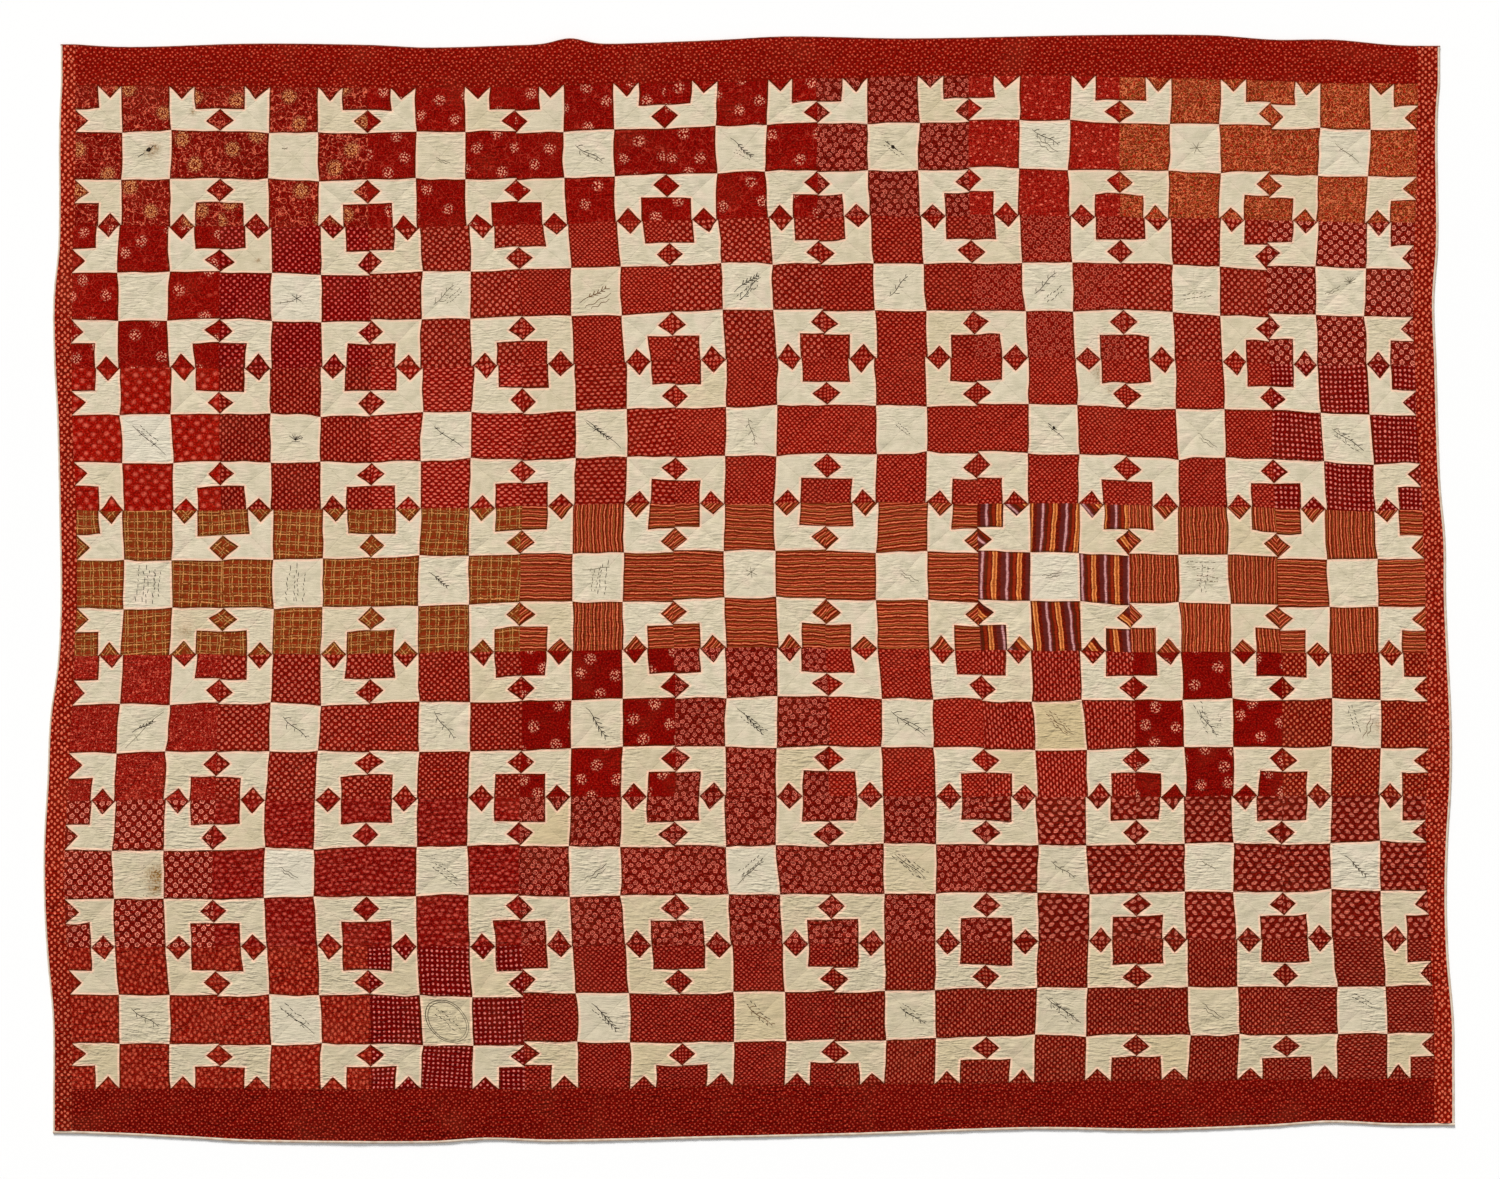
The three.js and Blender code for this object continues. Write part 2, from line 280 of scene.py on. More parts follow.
def creases(x, y):
    total = np.zeros_like(x)
    bend_x = x + 5 * noise(x / 60, y / 60, 8)
    bend_y = y + 5 * noise(x / 60, y / 60, 9)
    for start, end, half, height in CREASES:
        start, end = np.array(start, float), np.array(end, float)
        length = np.hypot(*(end - start))
        way = (end - start) / length
        along = ((bend_x - start[0]) * way[0] + (bend_y - start[1]) * way[1]) / length
        off = (bend_x - start[0]) * way[1] - (bend_y - start[1]) * way[0]
        fade = smooth(along, 0, 0.25) * smooth(along, 1, 0.75)
        total += height * fade * bell(off, half)
    return total


def pillow(distance):
    """How the filling rises away from a stitched line, from 0 on it to 1 midway to the next."""
    return 1 - (1 - distance) ** 4.0


def crimped(level):
    """Noise turned into rounded folds with sharp creases between them."""
    return 1.9 * np.abs(level) ** 0.8 - 0.7


def quilting(across, up, x, y):
    """The height of the quilted top over its lines, and how far it lies from a signature's own line."""
    to_rising = 2 * np.abs(across - up - np.round(across - up))
    to_falling = 2 * np.abs(across + up - np.round(across + up))
    body = pillow(to_rising) * pillow(to_falling)
    fullness = 0.5 + 0.5 * np.sin(1.7 * across + 0.9 * up) * np.cos(0.6 * across - 1.3 * up)
    drawn_in = 0.1 + 0.7 * smooth(noise(x / 70, y / 70, 14) + 0.6 * noise(x / 22, y / 22, 16), -0.5, 0.9)
    z = PUFF * (LEAST_PUFF + (1 - LEAST_PUFF) * fullness) * (1 - drawn_in * (1 - body))

    # Each signature has a stitched line across its middle, and every third one a line upwards too.
    column, row = np.floor(across), np.floor(up)
    signature = (column % PATCHES_A_BLOCK == 1) & (row % PATCHES_A_BLOCK == 1)
    to_level = np.abs(up - row - 0.5) * PATCH_HEIGHT
    to_upright = np.abs(across - column - 0.5) * PATCH_WIDTH
    upright_too = (column + 2 * row) % 9 < 3
    from_line = np.minimum(to_level, np.where(upright_too, to_upright, to_level))
    z = z - np.where(signature, OWN_LINE_DEPTH * drawn_in * bell(from_line, OWN_LINE_SPREAD) * body, 0)
    own_line = np.where(signature, from_line, PATCH_WIDTH)

    # Puckers that the stitches draw up: mostly level ones, stronger towards the bottom and the right.
    drawn = np.clip(0.72 - y / 1500 + x / 5200, 0.35, 1.2)
    sway_y = y + 6 * noise(x / 55, y / 55, 10)
    long_ones = crimped(noise(x / 32, sway_y / 13, 5))
    short_ones = noise(x / 12, sway_y / 7.0, 6)
    slanting = crimped(noise((x + y) / 30, (x - y) / 13, 7))
    uneven = 0.55 + 0.45 * noise(x / 85, y / 85, 17)
    puckers = LONG_PUCKER * long_ones + SHORT_PUCKER * short_ones + SLANTING_PUCKER * slanting
    z = z + drawn * uneven * puckers * (0.6 + 0.4 * body)
    return z, own_line


def top_height(x, y, across, up, out):
    """The top face, and each point's distance from a signature's own line. out counts steps past the
    centre, and the last of the border sinks to the binding's seam."""
    z, own_line = quilting(across, up, x, y)
    z = THICKNESS_AT_LINES + z
    to_binding = smooth(out, BINDING_DIP_START, 1.0)
    z = z + to_binding * (BINDING_SEAM_THICKNESS - z)
    return z + swell(x, y) + creases(x, y), own_line


# A block's patches, in patch widths from its lower left corner. A quarter of the block is folded over
# the others, so a and b count from the nearest sides. Each corner has a half-size print square, and
# a print triangle stands on each outer edge of the white L beside it.
BLOCK_HALF = PATCHES_A_BLOCK / 2
HALF_PATCH = 0.5
TRIANGLE_MIDDLE = 0.75
TRIANGLE_DEPTH = 0.25
# Seams between print and white cloth in the folded quarter: from, to.
FOLDED_SEAMS = (
    ((1, 0), (1, BLOCK_HALF)),
    ((0, 1), (BLOCK_HALF, 1)),
    ((HALF_PATCH, 0), (HALF_PATCH, HALF_PATCH)),
    ((0, HALF_PATCH), (HALF_PATCH, HALF_PATCH)),
    ((HALF_PATCH, 0), (TRIANGLE_MIDDLE, TRIANGLE_DEPTH)),
    ((TRIANGLE_MIDDLE, TRIANGLE_DEPTH), (1, 0)),
    ((0, HALF_PATCH), (TRIANGLE_DEPTH, TRIANGLE_MIDDLE)),
    ((TRIANGLE_DEPTH, TRIANGLE_MIDDLE), (0, 1)),
)
SIGNATURE, SIDE, CORNER, LEVEL_TRIANGLE, UPRIGHT_TRIANGLE, WHITE_L = range(6)
QUADRANTS = 4
PATCH_NUMBERS = 6 * QUADRANTS  # a patch's number is its kind and the quadrant or side that holds it


def fold(s, t):
    return np.minimum(s, PATCHES_A_BLOCK - s), np.minimum(t, PATCHES_A_BLOCK - t)


def seam_distance(s, t):
    """How far a point of a block lies from the nearest seam between print and white, in patches."""
    a, b = fold(s, t)
    nearest = np.full(np.shape(a), np.inf)
    for start, end in FOLDED_SEAMS:
        start, run = np.array(start, float), np.array(end, float) - np.array(start, float)
        share = ((a - start[0]) * run[0] + (b - start[1]) * run[1]) / (run @ run)
        share = np.clip(share, 0, 1)
        off = np.hypot(a - start[0] - share * run[0], b - start[1] - share * run[1])
        nearest = np.minimum(nearest, off)
    return nearest


def patch_number(s, t):
    """Which patch of a block holds each point."""
    a, b = fold(s, t)
    quadrant = (s > BLOCK_HALF).astype(int) + 2 * (t > BLOCK_HALF)
    kind = np.full(np.shape(a), WHITE_L)
    kind[(a < HALF_PATCH) & (b < HALF_PATCH)] = CORNER
    kind[b < TRIANGLE_DEPTH - np.abs(a - TRIANGLE_MIDDLE)] = LEVEL_TRIANGLE
    kind[a < TRIANGLE_DEPTH - np.abs(b - TRIANGLE_MIDDLE)] = UPRIGHT_TRIANGLE
    side = (a > 1) ^ (b > 1)
    kind[side] = SIDE
    quadrant[side & (a > 1)] = 2 * (t[side & (a > 1)] > BLOCK_HALF)
    quadrant[side & (b > 1)] = 1 + 2 * (s[side & (b > 1)] > BLOCK_HALF)
    kind[(a > 1) & (b > 1)] = SIGNATURE
    return kind * QUADRANTS + quadrant


def is_print(number):
    kind = number // QUADRANTS
    return (kind != SIGNATURE) & (kind != WHITE_L)


def steps(start, end, count):
    return start + (end - start) * np.arange(count + 1) / count


def grid_faces(columns, rows):
    """The corners of a grid's cells, counterclockwise from the lower left one."""
    i, j = np.meshgrid(np.arange(columns), np.arange(rows))
    a = (j * (columns + 1) + i).ravel()
    return np.stack([a, a + 1, a + columns + 2, a + columns + 1], 1)


def rim_of(columns, rows):
    """A grid's outer points, counterclockwise from the lower left one."""
    index = np.arange((columns + 1) * (rows + 1)).reshape(rows + 1, columns + 1)
    sides = [index[0, :-1], index[:-1, -1], index[-1, :0:-1], index[:0:-1, 0]]
    return np.concatenate(sides)


def edges_of_flat_faces(mesh, soft, sizes):
    """Which edges belong to a flat face, so that soft faces beside it are shaded as if it weren't there."""
    edges = np.zeros(len(mesh.loops), np.int32)
    mesh.loops.foreach_get("edge_index", edges)
    sharp = np.zeros(len(mesh.edges), bool)
    sharp[edges[np.repeat(~soft, sizes)]] = True
    return sharp


def build_mesh(name, points, groups):
    """A mesh from points in millimetres of the block grid's frame. Each group is (faces, material
    number or numbers, smooth)."""
    mesh = bpy.data.meshes.new(name)
    moved = (np.asarray(points, float) - [MIDDLE[0], MIDDLE[1], 0]) / METRE
    sizes = np.concatenate([np.full(len(faces), faces.shape[1]) for faces, _, _ in groups])
    corners = np.concatenate([faces.ravel() for faces, _, _ in groups])
    starts = np.concatenate([[0], np.cumsum(sizes)[:-1]])
    materials = np.concatenate([np.broadcast_to(number, len(faces)) for faces, number, _ in groups])
    soft = np.concatenate([np.full(len(faces), is_smooth) for faces, _, is_smooth in groups])
    mesh.vertices.add(len(moved))
    mesh.vertices.foreach_set("co", moved.ravel().astype(np.float32))
    mesh.loops.add(len(corners))
    mesh.loops.foreach_set("vertex_index", corners.astype(np.int32))
    mesh.polygons.add(len(sizes))
    for key, values in (("loop_start", starts), ("loop_total", sizes), ("material_index", materials)):
        mesh.polygons.foreach_set(key, values.astype(np.int32))
    mesh.polygons.foreach_set("use_smooth", soft)
    mesh.update(calc_edges=True)
    sharp = mesh.attributes.new("sharp_edge", "BOOLEAN", "EDGE")
    sharp.data.foreach_set("value", edges_of_flat_faces(mesh, soft, sizes))
    return mesh


def give(mesh, name, domain, *columns):
    """Three numbers for each of a mesh's first points or faces, which its materials read by name, and
    zeros for the rest."""
    values = np.zeros((len(mesh.vertices if domain == "POINT" else mesh.polygons), 3), np.float32)
    values[: len(columns[0]), : len(columns)] = np.stack(columns, 1)
    mesh.attributes.new(name, "FLOAT_VECTOR", domain).data.foreach_set("vector", values.ravel())


def map_print(mesh, places):
    """The places on the printed cloth of the first corners of a mesh."""
    values = np.zeros((len(mesh.loops), 2), np.float32)
    values[: len(places)] = places
    mesh.uv_layers.new(name="print").data.foreach_set("uv", values.ravel())


def add_object(data):
    """A new object in the scene, under its data's name."""
    made = bpy.data.objects.new(data.name, data)
    bpy.context.scene.collection.objects.link(made)
    return made


def add_piece(mesh, materials, node=None):
    """Adds a mesh to the scene as a piece, which may stand for a node."""
    piece = add_object(mesh)
    for material in materials:
        mesh.materials.append(material)
    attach(piece, BODY)
    if node:
        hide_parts(node)
    return piece


def closed_cloth(name, top, columns, rows, faces, face_materials, back_material):
    """Cloth with the given top points and top faces, walls round its rim and a flat underside."""
    rim = rim_of(columns, rows)
    floor = len(top) + np.arange(len(rim))
    turned = np.roll(np.arange(len(rim)), -1)
    walls = np.stack([floor, floor[turned], rim[turned], rim], 1)
    groups = [
        (faces, face_materials, True),
        (walls, back_material, False),
        (floor[::-1][None], back_material, False),
    ]
    return build_mesh(name, np.concatenate([top, top[rim] * [1, 1, 0]]), groups)


# Stains: the place of each, how far it reaches, and how dark it is.
STAINS = (
    (-912, 664, 9, 0.9), (-847, 722, 4, 0.9), (-752, 497, 4, 1.0), (534, 328, 17, 0.75),
    (548, 300, 9, 0.5), (-862, -69, 13, 0.6), (-1019, -700, 11, 0.7), (-904, -440, 14, 1.3),
    (-906, -462, 10, 1.3), (-912, -484, 8, 0.8), (960, -216, 9, 0.7), (470, -700, 12, 0.35),
    (-330, -160, 12, 0.35), (690, -735, 14, 0.4),
)


def stain_at(x, y):
    total = np.zeros_like(x)
    bend_x = x + 5 * noise(x / 14, y / 14, 12)
    bend_y = y + 5 * noise(x / 14, y / 14, 13)
    for at_x, at_y, reach, strength in STAINS:
        total = np.maximum(total, strength * bell(np.hypot(bend_x - at_x, bend_y - at_y), reach))
    return total


# How much yellower than the rest some signature squares are, by row and column; less than 0 is whiter.
SQUARE_YELLOW = {
    1: {1: 0.15, 2: 0.2, 3: 0.3, 5: 0.15, 6: 0.3, 7: -0.3, 9: -0.3},
    2: {2: -0.4, 3: -0.2, 4: 0.3, 6: 0.1, 7: -0.2},
    3: {1: -0.6, 2: 0.2, 3: -0.2, 4: 0.25, 7: 0.1, 8: 0.1},
    4: {2: 0.15, 5: 0.1, 7: -0.4, 9: 0.2},
    5: {4: 0.25, 7: 0.75, 8: -0.15},
    6: {1: 0.25, 2: -0.6, 3: -0.2, 4: -0.2, 5: -0.35, 6: 0.45, 8: -0.3, 9: -0.45},
    7: {1: -0.15, 2: -0.4, 3: 0.35, 4: -0.3, 5: 0.5, 7: -0.15, 8: 0.25, 9: -0.3},
}
# Stripes run level, up, or up in the upper and lower patches alone.
LEVEL, UPWARDS, BOTH_WAYS = range(3)
STRIPE_WAYS = {(4, 4): BOTH_WAYS, (4, 7): UPWARDS, (4, 8): UPWARDS, (4, 9): BOTH_WAYS}
QUARTER_TURN = math.pi / 2
EIGHTH_TURN = math.pi / 4


def patch_cloth(row, column, rng):
    """How a block's patches are cut: each one's turn and shift on its cloth, and its tone."""
    turns = rng.normal(0, 0.035, PATCH_NUMBERS)
    shifts = rng.uniform(0, 400, (PATCH_NUMBERS, 2))
    tones = rng.normal(0, 0.35, PATCH_NUMBERS)
    yellows = np.clip(rng.normal(0, 0.11, PATCH_NUMBERS), -0.4, 0.4)
    way = STRIPE_WAYS.get((row, column), LEVEL)
    kinds = np.arange(PATCH_NUMBERS) // QUADRANTS
    places = np.arange(PATCH_NUMBERS) % QUADRANTS
    above_or_below = (kinds == SIDE) & (places % 2 == 0)
    if way == UPWARDS:
        turns += QUARTER_TURN
    if way == BOTH_WAYS:
        turns[above_or_below] += QUARTER_TURN
    turns[(kinds == LEVEL_TRIANGLE) | (kinds == UPRIGHT_TRIANGLE)] += EIGHTH_TURN
    yellows[kinds == WHITE_L] = 1.5 * yellows[kinds == WHITE_L] + 0.2
    yellows[kinds == SIGNATURE] = SQUARE_YELLOW[row].get(column, 0.0)
    return turns, shifts, tones, yellows


SIDE_SLIDE = 0.048  # the most that a side's middle slides along it, in patches
CORNER_STRAY = 0.014  # how far the sewn corners stray
CORNER_PULL = 0.19  # how far round a corner the cloth follows it
TRIANGLE_PUSH = 0.022  # how far the triangles' tips reach past their places
# The folded quarter's sewn corners, and which way each one's triangle points.
SEWN_CORNERS = (((1, 1), (0, 0)), ((0.5, 0.5), (0, 0)), ((0.75, 0.25), (0, 1)), ((0.25, 0.75), (1, 0)))


def slide(s, t, rng):
    """Sewing never matches quite: points slide along the block's sides, most at their middles, and
    the sewn corners stray. No point leaves the block's sides."""
    low, high, left, right = rng.uniform(-SIDE_SLIDE, SIDE_SLIDE, 4)
    share_s, share_t = s / PATCHES_A_BLOCK, t / PATCHES_A_BLOCK
    moved_s = s + (low + (high - low) * share_t) * 4 * share_s * (1 - share_s)
    moved_t = t + (left + (right - left) * share_s) * 4 * share_t * (1 - share_t)
    inside = smooth(np.minimum(*fold(s, t)), 0, CORNER_PULL)
    for corner, points in SEWN_CORNERS:
        for turn_s in (False, True):
            for turn_t in (False, True):
                stray_s, stray_t = rng.normal(0, CORNER_STRAY, 2)
                corner_s = PATCHES_A_BLOCK - corner[0] if turn_s else corner[0]
                corner_t = PATCHES_A_BLOCK - corner[1] if turn_t else corner[1]
                stray_s += TRIANGLE_PUSH * points[0] * (-1 if turn_s else 1)
                stray_t += TRIANGLE_PUSH * points[1] * (-1 if turn_t else 1)
                follows = inside * bell(np.hypot(s - corner_s, t - corner_t), CORNER_PULL)
                moved_s = moved_s + stray_s * follows
                moved_t = moved_t + stray_t * follows
    return moved_s, moved_t


def triangles_by_seams(s, t, cells):
    """Cuts a block's cells in two, along any seam that crosses them cornerwise."""
    distance = seam_distance(s, t)
    first, second = cells[:, [0, 2]], cells[:, [1, 3]]
    middle = seam_distance(s[cells].mean(1), t[cells].mean(1))
    on_seam = middle < 1e-6
    rising = distance[first].sum(1) >= distance[second].sum(1)
    rising = np.where(on_seam, distance[first].sum(1) < 1e-6, rising)[:, None]
    a, b, c, d = cells.T
    lower = np.where(rising, np.stack([a, b, c], 1), np.stack([a, b, d], 1))
    upper = np.where(rising, np.stack([a, c, d], 1), np.stack([b, c, d], 1))
    return np.concatenate([lower, upper])


blocks = {}  # the top points of each, by row and column


def make_block(row, column, materials):
    """One pieced block, row and column counted from 1 at the upper left."""
    rng = np.random.default_rng(1000 * row + column)
    count = PATCHES_A_BLOCK * STEPS_A_PATCH
    places = steps(0, PATCHES_A_BLOCK, count)
    s, t = (grid.ravel() for grid in np.meshgrid(places, places))
    moved_s, moved_t = slide(s, t, rng)
    p = PATCHES_A_BLOCK * (column - 1) + moved_s
    q = PATCHES_A_BLOCK * (BLOCKS_DOWN - row) + moved_t
    x, y, across, up = lay(p, q)
    z, own_line = top_height(x, y, across, up, np.zeros_like(x))
    seam = seam_distance(s, t) * PATCH_HEIGHT
    to_side = np.minimum(*fold(s, t)) * PATCH_HEIGHT
    on_print = is_print(patch_number(s, t))
    turned_in = smooth(seam, 0, 3) * smooth(seam, SEAM_ALLOWANCE + 3, SEAM_ALLOWANCE) * smooth(to_side, 0, 4)
    z = z + np.where(on_print, TURNED_IN_RISE * turned_in, 0)
    z = z - SEAM_DIP * bell(seam, DIP_SPREAD) - SIDE_DIP * bell(to_side, DIP_SPREAD)
    top = np.stack([x, y, z], 1)
    cells = grid_faces(count, count)
    faces = triangles_by_seams(s, t, cells)
    numbers = patch_number(s[faces].mean(1), t[faces].mean(1))
    name = f"block_{row}_{column}"
    face_materials = np.where(is_print(numbers), 0, 1)
    mesh = closed_cloth(name, top, count, count, faces, face_materials, 2)

    turns, shifts, tones, yellows = patch_cloth(row, column, rng)
    own_x, own_y = s * PATCH_WIDTH, t * PATCH_HEIGHT
    cos, sin = np.cos(turns[numbers])[:, None], np.sin(turns[numbers])[:, None]
    u = cos * own_x[faces] + sin * own_y[faces] + shifts[numbers, :1]
    v = cos * own_y[faces] - sin * own_x[faces] + shifts[numbers, 1:]
    map_print(mesh, np.stack([u.ravel(), v.ravel()], 1))
    give(mesh, "seams", "POINT", seam, to_side, stain_at(x, y))
    give(mesh, "lines", "POINT", across, up, own_line)
    give(mesh, "patch", "FACE", tones[numbers], yellows[numbers])
    block = add_piece(mesh, materials, "pieced_centre")
    blocks[row, column] = top.reshape(count + 1, count + 1, 3)


BORDER_SEAM_SHADE_START = 2.0  # a border's painted seam shade is narrower than a patch's by so much
# The left border's tone along its way up: lighter at the top, darker at the bottom.
LEFT_BORDER_TONE = {"at": (-760, -640, -440, 0, 500, 660), "tone": (-2.2, -1.8, 0.0, -0.2, 0.1, 1.0)}


def is_level(side):
    return side in ("top", "bottom")


def lengths_of(side, reach):
    """How a border or binding is cut in lengths, one beside each block, for a finer finish on each. The
    first and last ones reach past the centre."""
    count = BLOCKS_ACROSS if is_level(side) else BLOCKS_DOWN
    for n in range(count):
        start, end = n * PATCHES_A_BLOCK, (n + 1) * PATCHES_A_BLOCK
        yield n + 1, start - reach * (n == 0), end + reach * (n == count - 1)


def past_side(side, along, out):
    """The places p and q that lie out steps past a side of the centre."""
    return {
        "top": (along, PATCHES_DOWN + out),
        "bottom": (along, -out),
        "left": (-out, along),
        "right": (PATCHES_ACROSS + out, along),
    }[side]


def make_border_length(side, number, start, end, materials):
    """A length of a print border."""
    along = steps(start, end, (end - start) * STEPS_A_PATCH)
    out = steps(0, 1, BORDER_STEPS[side])
    if side in ("bottom", "left"):
        out = out[::-1]
    if is_level(side):
        along, out = np.meshgrid(along, out)
    else:
        out, along = np.meshgrid(out, along)
    rows, columns = (count - 1 for count in out.shape)
    along, out = along.ravel(), out.ravel()
    x, y, across, up = lay(*past_side(side, along, out))
    from_seam = out * PATCH_HEIGHT
    z, _ = top_height(x, y, across, up, out)
    top = np.stack([x, y, z - SEAM_DIP * bell(from_seam, DIP_SPREAD)], 1)
    cells = grid_faces(columns, rows)
    mesh = closed_cloth(f"border_{side}_{number}", top, columns, rows, cells, 0, 1)
    map_print(mesh, top[cells, :2].reshape(-1, 2))
    give(mesh, "seams", "POINT", from_seam + BORDER_SEAM_SHADE_START, from_seam)
    give(mesh, "lines", "POINT", across, up, np.full_like(x, PATCH_WIDTH))
    if side == "left":
        tone = through(LEFT_BORDER_TONE["at"], LEFT_BORDER_TONE["tone"], y[cells].mean(1))
        give(mesh, "patch", "FACE", tone)
    return add_piece(mesh, materials, f"border_{side}")


# The binding's section: how far across its width from the seam, and how high.
BINDING_SECTION = (
    (0.0, 2.6), (0.22, 3.0), (0.5, 3.1), (0.78, 2.7), (0.95, 2.0), (1.0, 1.2), (0.95, 0.5), (0.8, 0.0),
    (0.0, 0.0),
)


def make_binding_length(side, number, start, end, material):
    """A length of binding, rolled over the quilt's edge and flat on the floor."""
    along = steps(start, end, (end - start) * BINDING_STEPS_A_PATCH)
    lines = []
    for share, height in BINDING_SECTION:
        x, y, _, _ = lay(*past_side(side, along, np.full_like(along, 1 + share)))
        uneven = 1 + 0.1 * noise(x / 9, y / 9, 15)
        z = (height + swell(x, y) * height / BINDING_SEAM_THICKNESS) * uneven
        lines.append(np.stack([x, y, z], 1))
    section, stations = len(lines), len(along)
    i, j = (grid.ravel() for grid in np.meshgrid(np.arange(section), np.arange(stations - 1)))
    here, after = j * section + i, j * section + (i + 1) % section
    faces = np.stack([here, after, after + section, here + section], 1)
    first_end = np.arange(section)[::-1][None]
    last_end = ((stations - 1) * section + np.arange(section))[None]
    if side in ("top", "left"):
        faces, first_end, last_end = faces[:, ::-1], first_end[:, ::-1], last_end[:, ::-1]
    groups = [(faces, 0, True), (first_end, 0, False), (last_end, 0, False)]
    mesh = build_mesh(f"binding_{side}_{number}", np.stack(lines, 1).reshape(-1, 3), groups)
    return add_piece(mesh, [material], f"binding_{side}")


def make_side(side, cotton, backing, binding):
    """A border and its binding. The side borders run on into the corners, and the top and bottom
    bindings over the side ones' ends."""
    border_reach, binding_reach = (0, 2) if is_level(side) else (1, 1)
    places = list(lengths_of(side, border_reach))
    borders = [make_border_length(side, *place, [cotton, backing]) for place in places]
    bindings = [make_binding_length(side, *place, binding) for place in lengths_of(side, binding_reach)]


# Materials. A tone is the colour that the cloth shows, from 0 to 255, in daylight of this strength, with
# what its faint gloss adds.
DAYLIGHT = 1.15
GLOSS = 0.001


def linear(tone):
    """A shown tone as the cloth's own colour."""
    shares = [channel / 255 for channel in tone]
    lit = [c / 12.92 if c <= 0.04045 else ((c + 0.055) / 1.055) ** 2.4 for c in shares]
    return [max(c - GLOSS, 0.0002) / DAYLIGHT for c in lit] + [1.0]


class Value:
    """A number that a material works out at each point. Arithmetic on it adds Math nodes."""

    def __init__(self, tree, socket):
        self.tree = tree
        self.socket = socket

    def math(self, operation, *others):
        node = self.tree.nodes.new("ShaderNodeMath")
        node.operation = operation
        for place, value in enumerate((self, *others)):
            feed(self.tree, node.inputs[place], value)
        return Value(self.tree, node.outputs[0])

    __add__ = partialmethod(math, "ADD")
    __sub__ = partialmethod(math, "SUBTRACT")
    __mul__ = partialmethod(math, "MULTIPLY")
    __truediv__ = partialmethod(math, "DIVIDE")

    def away_from(self, number):
        return self.math("SUBTRACT", number).math("ABSOLUTE")

    def wave(self):
        """A wave between 0 and 1."""
        return self.math("SINE") * 0.5 + 0.5

    def smooth(self, low, high):
        """From 0 at low to 1 at high, with soft ends."""
        node = self.tree.nodes.new("ShaderNodeMapRange")
        node.interpolation_type = "SMOOTHSTEP"
        feed(self.tree, node.inputs["Value"], self)
        node.inputs["From Min"].default_value = low
        node.inputs["From Max"].default_value = high
        return Value(self.tree, node.outputs["Result"])


def feed(tree, socket, value):
    """Links a value to a socket, or sets the socket to a plain number or colour."""
    if isinstance(value, Value):
        tree.links.new(value.socket, socket)
    elif isinstance(value, bpy.types.NodeSocket):
        tree.links.new(value, socket)
    else:
        socket.default_value = value


def add_node(tree, kind, inputs=None, **settings):
    node = tree.nodes.new(kind)
    for name, setting in settings.items():
        setattr(node, name, setting)
    for name, value in (inputs or {}).items():
        feed(tree, node.inputs[name], value)
    return node


def split(tree, vector):
    node = add_node(tree, "ShaderNodeSeparateXYZ", {"Vector": vector})
    return [Value(tree, node.outputs[axis]) for axis in ("X", "Y", "Z")]


def join(tree, x, y, z=0.0):
    return add_node(tree, "ShaderNodeCombineXYZ", {"X": x, "Y": y, "Z": z}).outputs[0]


def blend(tree, share, one, other):
    """One colour where share is 0 and the other where it is 1. A colour is a socket or a tone."""
    node = add_node(tree, "ShaderNodeMix", data_type="RGBA")
    feed(tree, node.inputs[0], share)
    for place, colour in ((6, one), (7, other)):
        feed(tree, node.inputs[place], colour if isinstance(colour, bpy.types.NodeSocket) else linear(colour))
    return node.outputs[2]


def layered(tree, colour, *layers):
    """A colour with others laid over it, each given as its share and its tone."""
    for share, tone in layers:
        colour = blend(tree, share, colour, tone)
    return colour


def named(tree, name):
    """The numbers that a mesh holds for its materials by name."""
    return split(tree, add_node(tree, "ShaderNodeAttribute", attribute_name=name).outputs["Vector"])


def object_place(tree):
    """The place on the object, in metres."""
    return add_node(tree, "ShaderNodeTexCoord").outputs["Object"]


def cloudy(tree, vector, scale, detail=2.0, roughness=0.5):
    inputs = {"Vector": vector, "Scale": scale, "Detail": detail, "Roughness": roughness}
    node = add_node(tree, "ShaderNodeTexNoise", inputs, noise_dimensions="2D")
    return Value(tree, node.outputs[0])


PRINT_SWAY = 3.0  # how far the puckers pull a print's lines about, from end to end


class Cloth:
    """Where a print is worked out: u and v are the place on the cloth in millimetres."""

    def __init__(self, tree):
        self.tree = tree
        cut = add_node(tree, "ShaderNodeUVMap", uv_map="print").outputs["UV"]
        u, v, _ = split(tree, cut)
        self.u = u + cloudy(tree, cut, 0.075, detail=2.0) * PRINT_SWAY
        self.v = v + cloudy(tree, cut, 0.085, detail=2.0) * PRINT_SWAY
        self.map = join(tree, self.u, self.v)


def nearest(cloth, across, down, jitter, half_drop=True):
    """The nearest motif of a repeat: how far off its middle is both ways, and a number of its own.
    Half-drop columns are across apart, and each repeats every down."""
    u, v = cloth.u, cloth.v
    if half_drop:
        m = u / (2 * across) + v / down
        n = u / (2 * across) - v / down
    else:
        m, n = u / across, v / down
    inputs = {"Vector": join(cloth.tree, m, n), "Scale": 1.0, "Randomness": jitter}
    cells = add_node(cloth.tree, "ShaderNodeTexVoronoi", inputs, voronoi_dimensions="2D")
    middle_m, middle_n, _ = split(cloth.tree, cells.outputs["Position"])
    own, _, _ = split(cloth.tree, cells.outputs["Color"])
    off_m, off_n = m - middle_m, n - middle_n
    if half_drop:
        return (off_m + off_n) * across, (off_m - off_n) * (down / 2), own
    return off_m * across, off_n * down, own


def radius_of(x, y):
    return (x * x + y * y).math("SQRT")


# Marks of a print, each a share from 0 to 1 at each point. Their sizes are in millimetres.

def dots(cloth, across, down, wide, tall, jitter=0.12, soft=0.35, half_drop=True):
    """Spots with the given half width and half height."""
    x, y, own = nearest(cloth, across, down, jitter, half_drop)
    size = radius_of(x / wide, y / tall) - own * 0.2
    return size.smooth(0.9 + soft, 0.9 - soft)


def square_dots(cloth, pitch, radius):
    """Spots in level rows, one right under the other."""
    return dots(cloth, pitch, pitch, radius, radius, half_drop=False)


